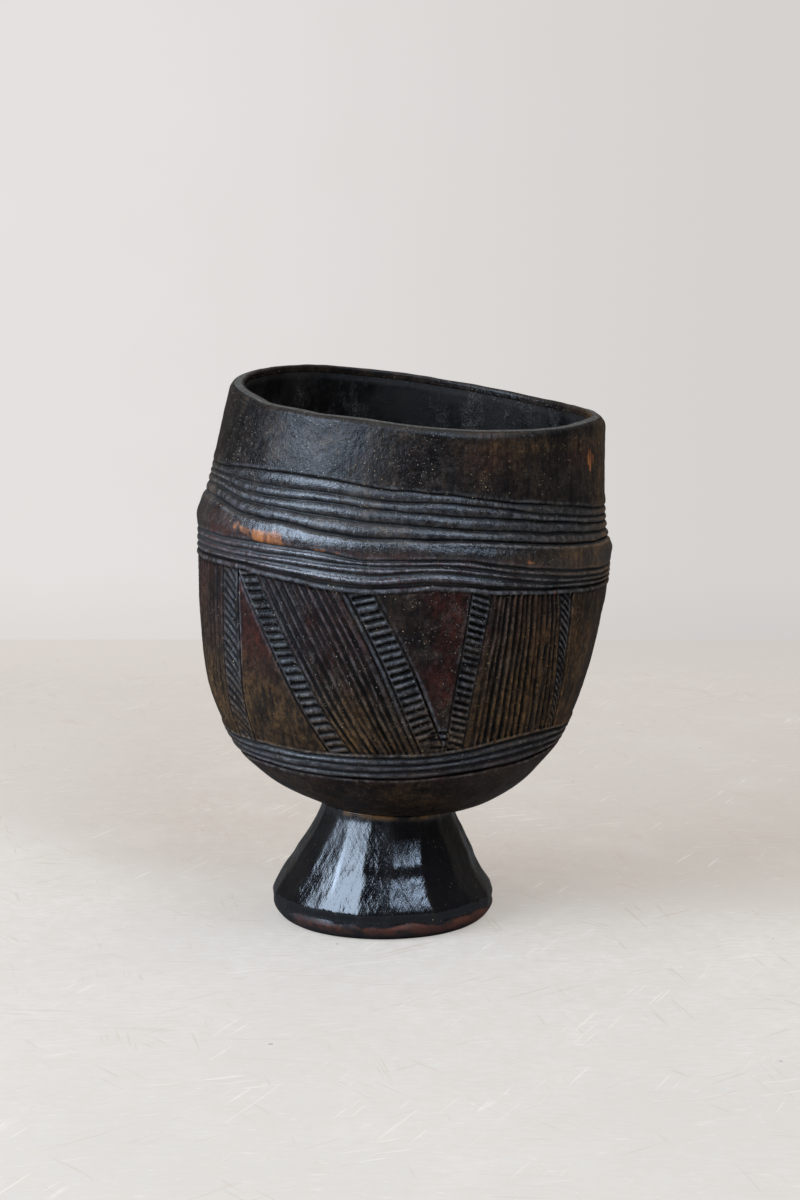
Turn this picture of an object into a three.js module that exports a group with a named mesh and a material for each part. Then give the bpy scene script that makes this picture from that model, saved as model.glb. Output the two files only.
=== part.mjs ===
// A drinking cup carved in dark hardwood, in millimetres, with +Z up.
// A bowl with a plain collar, rings of knife-cut grooves and a round belly stands on a faceted foot.
// The foot ends in a round tenon, which is let into a socket in the bowl's thick bottom.
// The origin is the centre of the foot's resting face. Seen along +Y, the bowl leans to the right.

import * as THREE from "three";
import { mergeVertices } from "three/addons/utils/BufferGeometryUtils.js";

// Foot
const FOOT_HEIGHT = 35.1;
const FOOT_RADIUS = 33.4;
const FOOT_EDGE_HEIGHT = 7.6;
const RESTING_RADIUS = 29.6;
const NECK_RADIUS = 20.7;
const NECK_OFFSET = 0.8;
const NECK_HOLLOW = 0.8;
const FACETS = 24;

// Joint between foot and bowl
const SEAT_TILT = -3.2;
const TENON_RADIUS = 11;
const TENON_LENGTH = 8.5;
const FIT_CLEARANCE = 0.3;

// Bowl outside. A rise is counted from the seat, where the bowl meets the foot.
const SHOULDER_RISE = 86.6;
const SHOULDER_RADIUS = 61.8;
const BELLY_FULLNESS = 2.65;
const BELLY_OFFSET = 4;
const COLLAR_RADIUS = 59.6;
const RIM_RISE = 123.4;
const RIM_RADIUS = 55.9;
const LEAN = 5.2;
const LEAN_RISE = 54.6;

// The rim is uneven: it dips to one side and has slight waves
const RIM_DIP = 6.7;
const RIM_DIP_TURN = 146;
const RIM_WAVE = 1.2;
const RIM_WAVE_TURN = -18;
const RIM_WAVES = 3;

// Bowl inside
const RIM_WALL = 4.6;
const BELLY_WALL = 5.6;
const FLOOR_THICKNESS = 17;

// Grooves cut round the bowl, and the round roll that stands proud between two bands of them
const GROOVE_DEPTH = 1;
const UPPER_GROOVES = { rise: 87.6, pitch: 3.15, count: 5 };
const SHOULDER_GROOVES = { rise: 74.2, pitch: 2.35, count: 4 };
const LOWER_GROOVES = { rise: 20.6, pitch: 2.5, count: 4 };
const GROOVE_TILT = -6;
const LEVEL_RISE = 38;
const ROLL_PROUD = 0.4;

// The carved field between the lower and the shoulder grooves, which repeats three times round the bowl.
// Angles are degrees from the front (-Y) towards +X. A slant is what an edge gains for each mm down.
// The gains widen a repeat's plain triangle, its slanting hatching and its open triangle.
const REPEATS = [
  { start: -50, startSlant: 0, gains: [0, 0, 0], cuts: [10, 12], lastLadder: 5.2, lastSlant: 0.046 },
  { start: 51.6, startSlant: 0.139, gains: [28, 0, 0], cuts: [10, 11], lastLadder: 7, lastSlant: -0.023 },
  { start: 181, startSlant: 0, gains: [8, 8, 6], cuts: [12, 13], lastLadder: 7.3, lastSlant: -0.051 },
];
const FIELD_RECESS = 0.35;
const FIELD_MARGIN = 0.02;
const BORDER_DEPTH = 1.1;
const LINE_DEPTH = 0.6;
const RUNG_DEPTH = 0.9;
const HATCH_DEPTH = 0.6;
const RUNG_PITCH = 2.4;
const TRIANGLE = { at: -0.2, slant: 0.66 };
const MIDDLE_LADDER = { at: 34.6, slant: 0.52 };
const OPEN_END = { at: 68.3, slant: -0.083 };
const PLAIN_WIDTH = 29;
const OPEN_WIDTH = 26;
const LADDER_WIDTH = 7.4;
const UPRIGHT_LADDER_WIDTH = 5.6;
const LINE_HALF_WIDTH = 0.7;
const NARROWEST = 0.12;

// Fineness of the faces
const STEPS_ROUND = 64;
const DEGREES_PLAIN = 9;
const STEPS_FACET = 2;
const STEPS_FOOT = 4;
const STEPS_UNDER = 6;
const STEPS_FIELD = 4;
const STEPS_ROLL = 3;
const STEPS_COLLAR = 4;
const STEPS_LIP = 4;
const STEPS_INSIDE = 12;

const { degToRad, lerp, clamp } = THREE.MathUtils;
const slope = (degrees) => Math.tan(degToRad(degrees));
const shares = (steps) => Array.from({ length: steps + 1 }, (_, i) => i / steps);

// Heights worked out from the sizes above
const SEAT = FOOT_HEIGHT + FIT_CLEARANCE;
const SHOULDER = SEAT + SHOULDER_RISE;
const COLLAR = SEAT + UPPER_GROOVES.rise;
const RIM = SEAT + RIM_RISE;
const FLOOR = SEAT + FLOOR_THICKNESS;
const FRONT = degToRad(-90);
const RINGS_START = FRONT + degToRad(REPEATS[0].start);

const FIELD_LOW = SEAT + LOWER_GROOVES.rise + (LOWER_GROOVES.count - 1 / 2) * LOWER_GROOVES.pitch;
const FIELD_TOP = SEAT + SHOULDER_GROOVES.rise - SHOULDER_GROOVES.pitch / 2;
const RUNGS = Math.round((FIELD_TOP - FIELD_LOW) / RUNG_PITCH);

// The belly is a superellipse: the share of the shoulder's radius left at a share of its depth
const fullness = (share) => (1 - clamp(share, 0, 1) ** BELLY_FULLNESS) ** (1 / BELLY_FULLNESS);
const BELLY_DEPTH = SHOULDER_RISE / fullness(NECK_RADIUS / SHOULDER_RADIUS);

// The collar steps in at the lowest of the upper grooves and tapers from there to the rim
function outerRadius(height) {
  if (height < SHOULDER) return SHOULDER_RADIUS * fullness((SHOULDER - height) / BELLY_DEPTH);
  if (height < COLLAR) return SHOULDER_RADIUS;
  return lerp(COLLAR_RADIUS, RIM_RADIUS, (height - COLLAR) / (RIM - COLLAR));
}

function innerRadius(height) {
  const bellyRadius = SHOULDER_RADIUS - BELLY_WALL;
  if (height < SHOULDER) return bellyRadius * fullness((SHOULDER - height) / (SHOULDER - FLOOR));
  return lerp(bellyRadius, RIM_RADIUS - RIM_WALL, (height - SHOULDER) / (RIM - SHOULDER));
}

// The bowl's middle stands beside the foot's and leans further to the right above the belly
function axisOffset(height) {
  return BELLY_OFFSET + slope(LEAN) * Math.max(0, height - SEAT - LEAN_RISE);
}

function rimHeight(angle) {
  const dip = RIM_DIP * Math.cos(angle - degToRad(RIM_DIP_TURN));
  const wave = RIM_WAVE * Math.cos(RIM_WAVES * (angle - degToRad(RIM_WAVE_TURN)));
  return RIM + dip + wave;
}

// One ring of points. place gives the point at an angle.
function ring(steps, place, from = RINGS_START) {
  return shares(steps)
    .slice(0, steps)
    .map((share) => place(from + 2 * Math.PI * share));
}

const lowEdge = ({ rise, pitch }) => SEAT + rise - pitch / 2;
const highEdge = ({ rise, pitch, count }) => SEAT + rise + (count - 1 / 2) * pitch;

// A point on the bowl. Its rings are level in the lower belly and dip to the right towards the collar.
// Above the highest groove they are spread up to the uneven rim.
function bowlPoint(angle, height, radius) {
  const plain = highEdge(UPPER_GROOVES);
  const level = Math.min(height, plain);
  const tilt = slope(GROOVE_TILT) * clamp((level - SEAT - LEVEL_RISE) / (COLLAR - SEAT - LEVEL_RISE), 0, 1);
  const upward = Math.max(0, (height - plain) / (RIM - plain));
  const across = radius * Math.cos(angle);
  const z = lerp(level + tilt * across, rimHeight(angle), upward);
  return [axisOffset(height) + across, radius * Math.sin(angle), z];
}

const bowlRing = (height, radius) => ring(STEPS_ROUND, (angle) => bowlPoint(angle, height, radius));

// A ring in the tilted plane where bowl and foot meet, round the foot's neck
function seatRing(radius, height, steps, from = RINGS_START) {
  const place = (angle) => {
    const across = radius * Math.cos(angle);
    return [NECK_OFFSET + across, radius * Math.sin(angle), height + slope(SEAT_TILT) * across];
  };
  return ring(steps, place, from);
}

function levelRing(radius, height, steps, from = RINGS_START) {
  const place = (angle) => [NECK_OFFSET + radius * Math.cos(angle), radius * Math.sin(angle), height];
  return ring(steps, place, from);
}

// A ring of the foot, whose flat facets are cut between evenly spaced edges.
// sharpness is 1 where the ring has straight sides and 0 where it is round.
function footRing(radius, height, sharpness) {
  const turn = Math.PI / FACETS;
  const offset = NECK_OFFSET * (height / FOOT_HEIGHT);
  return ring(FACETS * STEPS_FACET, (angle) => {
    const fromMiddle = ((angle % (2 * turn)) + 2 * turn) % (2 * turn) - turn;
    const flat = Math.cos(turn) / Math.cos(fromMiddle);
    const reach = radius * lerp(1, flat, sharpness);
    return [offset + reach * Math.cos(angle), reach * Math.sin(angle), height];
  }, 0);
}

// A closed skin from faces that share the places of their corners
function skin(faces) {
  const geometry = new THREE.BufferGeometry();
  geometry.setAttribute("position", new THREE.Float32BufferAttribute(faces.flat(2), 3));
  const closed = mergeVertices(geometry);
  closed.computeVertexNormals();
  return closed;
}

// The faces over a stack of rings of equal count, seen from outside
function loft(rings) {
  const faces = [];
  for (let row = 0; row + 1 < rings.length; row += 1) {
    const low = rings[row];
    const high = rings[row + 1];
    low.forEach((corner, i) => {
      const next = (i + 1) % low.length;
      faces.push([corner, low[next], high[next]], [corner, high[next], high[i]]);
    });
  }
  return faces;
}

// The fan of faces that closes a ring of points, seen from above or from below
function cap(points, fromAbove) {
  const middle = [0, 1, 2].map((k) => points.reduce((sum, point) => sum + point[k], 0) / points.length);
  return points.map((point, i) => {
    const next = points[(i + 1) % points.length];
    return fromAbove ? [middle, point, next] : [middle, next, point];
  });
}

// The faces between two lines of stations that run side by side, where left is left of the way they run.
// A station has its point, and key names what tells how far along it lies.
function zip(left, right, key) {
  const faces = [];
  let i = 0;
  let j = 0;
  while (i + 1 < left.length || j + 1 < right.length) {
    const onLeft = j + 1 === right.length || (i + 1 < left.length && left[i + 1][key] <= right[j + 1][key]);
    const next = onLeft ? left[i + 1] : right[j + 1];
    faces.push([left[i].point, right[j].point, next.point]);
    if (onLeft) i += 1;
    else j += 1;
  }
  return faces;
}

// The stations of a ring, with the first one again at the end
const closedRing = (stations) => [...stations, { ...stations[0], angle: stations[0].angle + 2 * Math.PI }];
const ringStations = (points) =>
  closedRing(points.map((point, i) => ({ point, angle: RINGS_START + (2 * Math.PI * i) / points.length })));

// The crests and the bottoms of a band of grooves, from the lowest groove up
function groovedRings({ rise, pitch, count }) {
  const rings = [];
  for (let i = 0; i < count; i += 1) {
    const bottom = SEAT + rise + i * pitch;
    rings.push(bowlRing(bottom - pitch / 2, outerRadius(bottom - pitch / 2)));
    rings.push(bowlRing(bottom, outerRadius(bottom) - GROOVE_DEPTH));
  }
  const crest = SEAT + rise + (count - 1 / 2) * pitch;
  rings.push(bowlRing(crest, outerRadius(crest)));
  return rings;
}

// Rings between two heights, both left out, with a bulge in the middle where proud isn't 0
function plainRings(from, to, steps, proud = 0) {
  return shares(steps)
    .slice(1, -1)
    .map((share) => {
      const height = lerp(from, to, share);
      return bowlRing(height, outerRadius(height) + proud * Math.sin(Math.PI * share));
    });
}

function lipRings() {
  const round = RIM_WALL / 2;
  return shares(STEPS_LIP).map((share) => {
    const turn = Math.PI * share;
    const radius = RIM_RADIUS - round + round * Math.cos(turn);
    return bowlRing(RIM - round + round * Math.sin(turn), radius);
  });
}

// The rings of the hollow lie closer together towards its floor, where it curves most
function insideRings() {
  const top = RIM - RIM_WALL / 2;
  return shares(STEPS_INSIDE)
    .slice(1, -1)
    .map((share) => {
      const height = lerp(FLOOR, top, (1 - share) ** 2);
      return bowlRing(height, innerRadius(height));
    });
}

// The rails of one repeat of the carved field, in their order round the bowl. A rail is a line of points from
// the field's lower edge to its upper one, with its angle at a height, its depth below the recess, its steps,
// and the depth of every other point.
// From left to right: a deep line, a plain triangle, a slanting ladder, slanting hatching, a second ladder,
// an open triangle, an upright ladder, upright hatching and a last ladder.
function repeatRails(repeat, following) {
  const [plain, hatched, open] = repeat.gains;
  const rails = [];
  const rail = (at, depth = 0, steps = STEPS_FIELD, valley = depth) => rails.push({ at, depth, steps, valley });
  const beside = (at, more) => (height) => at(height) + more;
  const edge = (at, slant) => (height) => at + slant * (FIELD_TOP - height);
  const begin = edge(repeat.start, repeat.startSlant);
  const end = edge(following.start, following.startSlant);
  const inside = ({ at, slant }, gain) => (height) => begin(height) + edge(at + gain, slant)(height);
  const fill = (left, right, count, depth) => {
    for (let i = 1; i < count; i += 1) {
      rail((height) => lerp(left(height), right(height), i / count), i % 2 ? 0 : depth);
    }
  };
  const plainPanel = (left, right, widest) => {
    rail(beside(left, LINE_HALF_WIDTH));
    fill(beside(left, LINE_HALF_WIDTH), beside(right, -LINE_HALF_WIDTH), Math.ceil(widest / DEGREES_PLAIN), 0);
    rail(beside(right, -LINE_HALF_WIDTH));
  };
  const ladder = (left, right) => {
    rail(left, LINE_DEPTH);
    rail(beside(left, LINE_HALF_WIDTH), 0, RUNGS);
    rail((height) => lerp(left(height), right(height), 1 / 2), 0, 2 * RUNGS, RUNG_DEPTH);
    rail(beside(right, -LINE_HALF_WIDTH), 0, RUNGS);
  };

  const triangle = inside(TRIANGLE, plain);
  const triangleEnd = beside(triangle, LADDER_WIDTH);
  const middle = inside(MIDDLE_LADDER, plain + hatched);
  const middleEnd = beside(middle, LADDER_WIDTH);
  const doubleLine = beside(middle, -2 * LINE_HALF_WIDTH);
  const closing = inside(OPEN_END, plain + hatched + open);
  const closingEnd = beside(closing, UPRIGHT_LADDER_WIDTH);
  const last = (height) => end(height) - edge(repeat.lastLadder, -repeat.lastSlant)(height);

  rail(begin, BORDER_DEPTH);
  plainPanel(begin, triangle, plain + PLAIN_WIDTH);
  ladder(triangle, triangleEnd);
  rail(triangleEnd, LINE_DEPTH);
  fill(triangleEnd, doubleLine, 2 * repeat.cuts[0], HATCH_DEPTH);
  rail(doubleLine, LINE_DEPTH);
  rail(beside(middle, -LINE_HALF_WIDTH));
  ladder(middle, middleEnd);
  rail(middleEnd, LINE_DEPTH);
  plainPanel(middleEnd, closing, open + OPEN_WIDTH);
  ladder(closing, closingEnd);
  rail(closingEnd, LINE_DEPTH);
  fill(closingEnd, last, 2 * repeat.cuts[1], HATCH_DEPTH);
  ladder(last, end);
  return rails;
}

// The stations of every rail of the field. Rails keep their order, also where an edge would cross another.
function fieldStations() {
  const first = { ...REPEATS[0], start: REPEATS[0].start + 360 };
  const rails = REPEATS.flatMap((repeat, i) => repeatRails(repeat, REPEATS[i + 1] ?? first));
  const station = (index, share, depth) => {
    const height = lerp(FIELD_LOW, FIELD_TOP, share);
    let reached = -Infinity;
    rails.slice(0, index + 1).forEach(({ at }) => {
      reached = Math.max(at(height), reached + NARROWEST);
    });
    const angle = FRONT + degToRad(reached);
    return { point: bowlPoint(angle, height, outerRadius(height) - depth), share, angle };
  };
  return rails.map(({ depth, steps, valley }, index) => {
    const cut = shares(steps).map((share, i) => {
      const sunk = FIELD_RECESS + (i % 2 ? valley : depth);
      return station(index, lerp(FIELD_MARGIN, 1 - FIELD_MARGIN, share), sunk);
    });
    return [station(index, 0, 0), ...cut, station(index, 1, 0)];
  });
}

function bowlGeometry() {
  const socketRadius = TENON_RADIUS + FIT_CLEARANCE;
  const socketTop = SEAT + TENON_LENGTH + FIT_CLEARANCE;
  const under = [
    levelRing(socketRadius, socketTop, STEPS_ROUND),
    seatRing(socketRadius, SEAT, STEPS_ROUND),
    seatRing(NECK_RADIUS, SEAT, STEPS_ROUND),
    ...plainRings(SEAT, lowEdge(LOWER_GROOVES), STEPS_UNDER),
    ...groovedRings(LOWER_GROOVES),
  ];
  const above = [
    ...groovedRings(SHOULDER_GROOVES),
    ...plainRings(highEdge(SHOULDER_GROOVES), lowEdge(UPPER_GROOVES), STEPS_ROLL, ROLL_PROUD),
    ...groovedRings(UPPER_GROOVES),
    ...plainRings(highEdge(UPPER_GROOVES), RIM - RIM_WALL / 2, STEPS_COLLAR),
    ...lipRings(),
    ...insideRings(),
  ];
  const rails = fieldStations();
  const lowEnds = closedRing(rails.map((rail) => rail[0]));
  const highEnds = closedRing(rails.map((rail) => rail[rail.length - 1]));
  return skin([
    ...cap(under[0], false),
    ...loft(under),
    ...zip(lowEnds, ringStations(under[under.length - 1]), "angle"),
    ...rails.flatMap((rail, i) => zip(rail, rails[(i + 1) % rails.length], "share")),
    ...zip(ringStations(above[0]), highEnds, "angle"),
    ...loft(above),
    ...cap(above[above.length - 1], true),
  ]);
}

// The foot's side draws in slightly between its widest edge and the neck, and is undercut below the edge
function footGeometry() {
  const cone = shares(STEPS_FOOT).map((share) => {
    const height = lerp(FOOT_EDGE_HEIGHT, FOOT_HEIGHT, share);
    const hollow = NECK_HOLLOW * Math.sin(Math.PI * share);
    return footRing(lerp(FOOT_RADIUS, NECK_RADIUS, share) - hollow, height, 1);
  });
  const steps = FACETS * STEPS_FACET;
  const under = lerp(RESTING_RADIUS, FOOT_RADIUS, 2 / 3);
  const rings = [
    footRing(RESTING_RADIUS, 0, 0),
    footRing(under, FOOT_EDGE_HEIGHT / 3, 0),
    ...cone.slice(0, -1),
    seatRing(NECK_RADIUS, FOOT_HEIGHT, steps, 0),
    seatRing(TENON_RADIUS, FOOT_HEIGHT, steps, 0),
    levelRing(TENON_RADIUS, FOOT_HEIGHT + TENON_LENGTH, steps, 0),
  ];
  return skin([...cap(rings[0], false), ...loft(rings), ...cap(rings[rings.length - 1], true)]);
}

const bowlWood = new THREE.MeshStandardMaterial({ color: 0x2a2320, roughness: 0.5, metalness: 0 });
const footWood = new THREE.MeshStandardMaterial({ color: 0x17161a, roughness: 0.25, metalness: 0 });

function piece(name, geometry, material) {
  const mesh = new THREE.Mesh(geometry, material);
  mesh.name = name;
  return mesh;
}

const cup = new THREE.Group();
cup.name = "drinking_cup";
cup.add(piece("bowl", bowlGeometry(), bowlWood));
cup.add(piece("foot", footGeometry(), footWood));

export default cup;
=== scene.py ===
"""A carved drinking cup of dark wood on a pale floor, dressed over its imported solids.

Sizes below are in millimetres and degrees. Points become metres only when a mesh is written.
Angles round the cup are counted from its front, which faces -Y, and grow towards its right, +X.
"""

import bpy
import numpy as np
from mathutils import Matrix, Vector

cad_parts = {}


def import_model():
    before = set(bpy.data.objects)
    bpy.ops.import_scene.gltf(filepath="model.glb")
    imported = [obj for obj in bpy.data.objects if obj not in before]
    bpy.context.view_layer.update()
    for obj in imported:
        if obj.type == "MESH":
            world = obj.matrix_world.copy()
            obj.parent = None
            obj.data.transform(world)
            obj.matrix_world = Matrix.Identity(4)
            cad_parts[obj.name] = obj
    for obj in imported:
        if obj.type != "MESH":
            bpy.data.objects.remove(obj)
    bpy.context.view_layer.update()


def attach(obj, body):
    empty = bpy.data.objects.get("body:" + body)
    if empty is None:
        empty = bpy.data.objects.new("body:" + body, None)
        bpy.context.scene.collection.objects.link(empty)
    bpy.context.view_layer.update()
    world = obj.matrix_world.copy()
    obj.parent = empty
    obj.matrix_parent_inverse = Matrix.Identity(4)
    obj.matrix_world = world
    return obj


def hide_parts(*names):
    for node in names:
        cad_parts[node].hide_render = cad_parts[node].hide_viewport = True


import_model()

MM = 0.001
TURN = 360.0


# Curves and noise

def through(pairs, x, turn=None):
    """A smooth curve through (place, value) pairs.

    Between two pairs it is the cubic that leaves and reaches them at the slopes of their neighbours.
    With turn, the pairs repeat after that length.
    """
    at, value = np.array(sorted(pairs), float).T
    x = np.asarray(x, float)
    if turn:
        x = (x - at[0]) % turn + at[0]
        at = np.concatenate((at[-2:] - turn, at, at[:2] + turn))
        value = np.concatenate((value[-2:], value, value[:2]))
    slope = np.gradient(value, at)
    i = np.clip(np.searchsorted(at, x, side="right") - 1, 0, len(at) - 2)
    span = at[i + 1] - at[i]
    t = np.clip((x - at[i]) / span, 0, 1)
    leaving = (1 + 2 * t) * (1 - t) ** 2 * value[i] + t * (1 - t) ** 2 * span * slope[i]
    reaching = t * t * (3 - 2 * t) * value[i + 1] - t * t * (1 - t) * span * slope[i + 1]
    return leaving + reaching


def ease(low, high, x):
    """The smooth step: 0 below low, 1 above high, and three times the square less twice the cube between."""
    t = np.clip((x - low) / (high - low), 0, 1)
    return t * t * (3 - 2 * t)


def drift(seed, angle, along, cells, length):
    """Seeded hills and hollows from -1 to 1.

    Random values stand on a lattice, `cells` of them round the cup and one every `length` along it,
    and the smooth step blends the four nearest.
    """
    table = np.random.default_rng(seed).uniform(-1, 1, (97, cells))
    a, b = (angle % TURN) / TURN * cells, along / length
    column, row = np.floor(a).astype(int), np.floor(b).astype(int)
    s, t = ease(0, 1, a - column), ease(0, 1, b - row)

    def pick(r, c):
        return table[r % 97, c % cells]

    low = pick(row, column) * (1 - s) + pick(row, column + 1) * s
    high = pick(row + 1, column) * (1 - s) + pick(row + 1, column + 1) * s
    return low * (1 - t) + high * t


def dealt(seed, number):
    """One seeded random value from -1 to 1 for each whole number."""
    return np.random.default_rng(seed).uniform(-1, 1, 257)[number.astype(int) % 257]


# The bowl's shape

SEAT = 35.22
BAND_TOP = 137.3
RIM = 158.8
RIM_WALL = 4.6
FLOOR = 52.4
SHOULDER = 122.0
MOUTH_RADIUS = 55.9
BELLY_RADIUS = 56.2
# The power of the hollow's superellipse: 2 is an ellipse, and more is squarer
FULLNESS = 2.65
# Where the foot meets the bowl: that plane's tilt in degrees, and how far right of the foot its middle is
SEAT_TILT = 3.2
NECK_RIGHT = 0.8
SOCKET_RADIUS, SOCKET_TOP = 11.3, 44.2
TENON_RADIUS, TENON_TOP = 11.0, 43.4
# How far behind the carved skin its closed back lies
SKIN = 2.3
# The radius that closes a pole
POLE = 0.5

# The outer radius at some heights
OUTSIDE = ((35.2, 20.7), (36, 23.7), (37.5, 27.8), (39, 30.9), (42, 35.9), (45, 39.9), (48, 42.9), (51, 45.7),
           (54, 48.3), (57, 50.4), (60, 52), (66, 54.6), (72, 56.7), (78, 58.3), (84, 59.4), (90, 60.3),
           (96, 61), (102, 61.6), (108, 61.9), (114, 62), (119, 61.8), (122, 61.2), (124, 60.4),
           (126, 59.7), (129, 59.1), (132, 58.6), (138, 58), (144, 57.4), (150, 56.7), (156, 56.1),
           (159, 55.8), (162, 55.4))
# How far right of the foot the middle line is, and the tilts of the rings in degrees, at some heights
MIDDLE = ((35.2, NECK_RIGHT), (36, 2.6), (37.5, 4.2), (40, 5.2), (48, 5.4), (57, 4.5), (66, 4.3), (75, 4.1),
          (84, 4.5), (93, 5.1), (102, 5.7), (111, 6.2), (120, 6.6), (129, 7.5), (138, 8.3), (147, 9.2),
          (156, 10.2), (162, 10.8))
DIP_RIGHT = ((35.2, SEAT_TILT), (40, 0.4), (60, -1.4), (90, 1.5), (113, 3.9), (126, 6), (160, 6))
RISE_BACK = ((35.2, 0), (40, 0), (60, 4), (90, 1), (113, 0), (126, 0), (160, 1))
# The rim's height at some angles from the front
RIM_LINE = ((-90, 163.4), (-80, 162.6), (-69, 161.2), (-62, 160.2), (-57.5, 159.4), (-55, 158.8),
            (-48, 158.1), (-40, 157.5), (-31, 156.5), (-25, 156.1), (-14, 155.1), (-4, 153.9), (5, 153),
            (15, 152.3), (26, 152), (38, 151.7), (46, 151.8), (54, 152.2), (66, 152.8), (78, 153.2),
            (90, 153.4), (100, 153.9), (106, 154.1), (115, 154.5), (122, 155.0), (134, 156.0), (144, 157.3),
            (153, 158.5), (161, 159.7), (169, 160.8), (177, 162), (189, 163.6), (200, 164.7), (210, 165.7),
            (220, 166.3), (230, 166.3), (240, 165.9), (250, 165.3), (256, 164.9), (262, 164.4))
# How wide the lip's outer edge is rounded, at some angles from the front
LIP_ROUND = ((-90, 1.9), (-75, 2.0), (-60, 1.7), (-54, 1.9), (-20, 2.2), (0, 2.9), (12, 3.2), (26, 3.0),
             (48, 1.9), (70, 2.3), (84, 3.0), (98, 2.8), (120, 2.3), (180, 1.8), (250, 1.9))


def outside(height):
    """The bowl's outer radius at a height, a smooth curve through the profile's sizes."""
    return through(OUTSIDE, height)


def inside(height):
    """The hollow's radius: a superellipse below the shoulder, then a straight taper up to the rim."""
    share = np.clip((SHOULDER - height) / (SHOULDER - FLOOR), 0, 1)
    below = BELLY_RADIUS * (1 - share ** FULLNESS) ** (1 / FULLNESS)
    taper = MOUTH_RADIUS - RIM_WALL - BELLY_RADIUS
    above = BELLY_RADIUS + taper * (height - SHOULDER) / (RIM - SHOULDER)
    return np.where(height < SHOULDER, below, above)


def place(angle, height, radius):
    """Points on the bowl's rings, in mm.

    A ring is a circle round the leaning middle line, and two slopes tilt it to the right and the back.
    Above the top groove the rings are spread from the tilted one up to the uneven rim, by shares.
    """
    turn = np.radians(angle)
    x, y = radius * np.sin(turn), -radius * np.cos(turn)
    level = np.minimum(height, BAND_TOP)
    across = np.tan(np.radians(through(DIP_RIGHT, level)))
    along = np.tan(np.radians(through(RISE_BACK, level)))
    z = level - across * x + along * y
    share = np.maximum((height - BAND_TOP) / (RIM - BAND_TOP), 0)
    z = z + (through(RIM_LINE, angle, TURN) - z) * share
    return np.stack((through(MIDDLE, height) + x, y, z), -1)


# Knife work on the bowl

# Each line round the bowl is a height at some angles from the front, and its depth and half width
UPPER_LINES = (
    (((-72, 133.6), (-47, 135.2), (-32, 136), (-20, 136), (-8, 135.5), (8, 135.9), (32, 135.1),
      (47, 134.8), (73, 133.4), (130, 134.2), (200, 134.8), (250, 134)), 0.6, 0.9),
    (((-55, 131.6), (-38, 131.6), (-25, 132.4), (-3, 132.5), (8, 133.4), (19, 133.7), (32, 132.9),
      (72, 131.1), (130, 131.6), (200, 132.2), (260, 131.5)), 0.85, 1.05),
    (((-68, 129.9), (-45, 128.6), (-25, 129.6), (0, 129.8), (32, 130.4), (72, 129.1), (130, 128.8),
      (200, 129.5), (255, 129.4)), 1.0, 1.1),
    (((-66, 127.8), (-53, 126.5), (-36, 126.2), (-2, 126.2), (32, 126.8), (76, 126.2), (140, 126),
      (210, 126.6), (265, 127.2)), 1.1, 1.1),
    (((-82, 125.2), (-63, 124.6), (-51, 123.4), (-35, 123), (-12, 121.9), (-2, 122.5), (19, 123.7),
      (54, 123.3), (68, 123.4), (130, 123), (200, 123.6), (250, 124.2)), 1.35, 1.2),
)
SHOULDER_LINES = (
    (((-70, 116), (-49, 116.6), (-22, 116.8), (-11, 115.9), (-1, 116.6), (14, 117.7), (31, 116.3),
      (67, 114.1), (120, 115.5), (190, 116.4), (250, 115.9)), 0.8, 0.9),
    (((-60, 114.2), (-34, 114.5), (-1, 114.9), (9, 116), (31, 114), (55, 112.1), (120, 113.2),
      (190, 114.2), (250, 113.6)), 0.8, 0.9),
    (((-60, 112.2), (-34, 112.5), (-11, 111.9), (9, 114), (38, 111.6), (70, 110.4), (120, 110.8),
      (190, 111.9), (250, 111.5)), 0.8, 0.9),
    (((-70, 110.4), (-49, 110.8), (-34, 109.9), (-11, 108.8), (9, 110.7), (26, 109.9), (60, 108.9),
      (120, 108.6), (190, 109.6), (250, 109.6)), 0.95, 0.95),
)
LOWER_LINES = (
    (((-74, 62.3), (-48, 63.7), (-18, 63.3), (1, 63.2), (20, 63.7), (34, 64.9), (41, 65), (51, 64.6),
      (67, 62.5), (130, 63), (200, 63.6), (245, 62.8)), 0.8, 0.95),
    (((-63, 61.1), (-40, 61.5), (1, 60.8), (14, 60.8), (43, 62.2), (72, 60), (130, 60.6), (200, 61.2)),
     0.75, 0.9),
    (((-50, 58.9), (1, 58.4), (28, 59.4), (44, 59.8), (75, 57.4), (130, 58.3), (200, 58.8)), 0.8, 0.9),
    (((-77, 55.2), (-54, 57), (-35, 56.3), (1, 55.4), (29, 55.9), (59, 56.1), (130, 55.4), (200, 56.2)),
     1.15, 1.0),
)
# The bands of lines: their lines, the power that shapes the ridges between them, and their seed
UPPER = (UPPER_LINES, 0.75, 10)
SHOULDERS = (SHOULDER_LINES, 2.4, 50)
LOWER = (LOWER_LINES, 1.6, 80)


def knife_cut(distance, half_width, depth):
    """A knife's groove with hollow flanks.

    Its depth is the whole one on its line, times the power 1.5 of one less the distance over the half width.
    """
    return -depth * np.clip(1 - np.abs(distance) / half_width, 0, 1) ** 1.5


def gouge_cut(distance, half_width, depth):
    """A wide cut with steep edges, which leaves a thin ridge on each side.

    Its depth is the whole one times one less the power 2.6 of the distance over the half width.
    """
    return -depth * (1 - np.clip(np.abs(distance) / half_width, 0, 1) ** 2.6)


def cut_line(band, number, angle):
    """The height of one groove's middle, which wavers a little on its way round."""
    lines, power, seed = band
    return through(lines[number][0], angle, TURN) + 0.16 * drift(seed + number, angle, 0 * angle, 61, 1)


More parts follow.
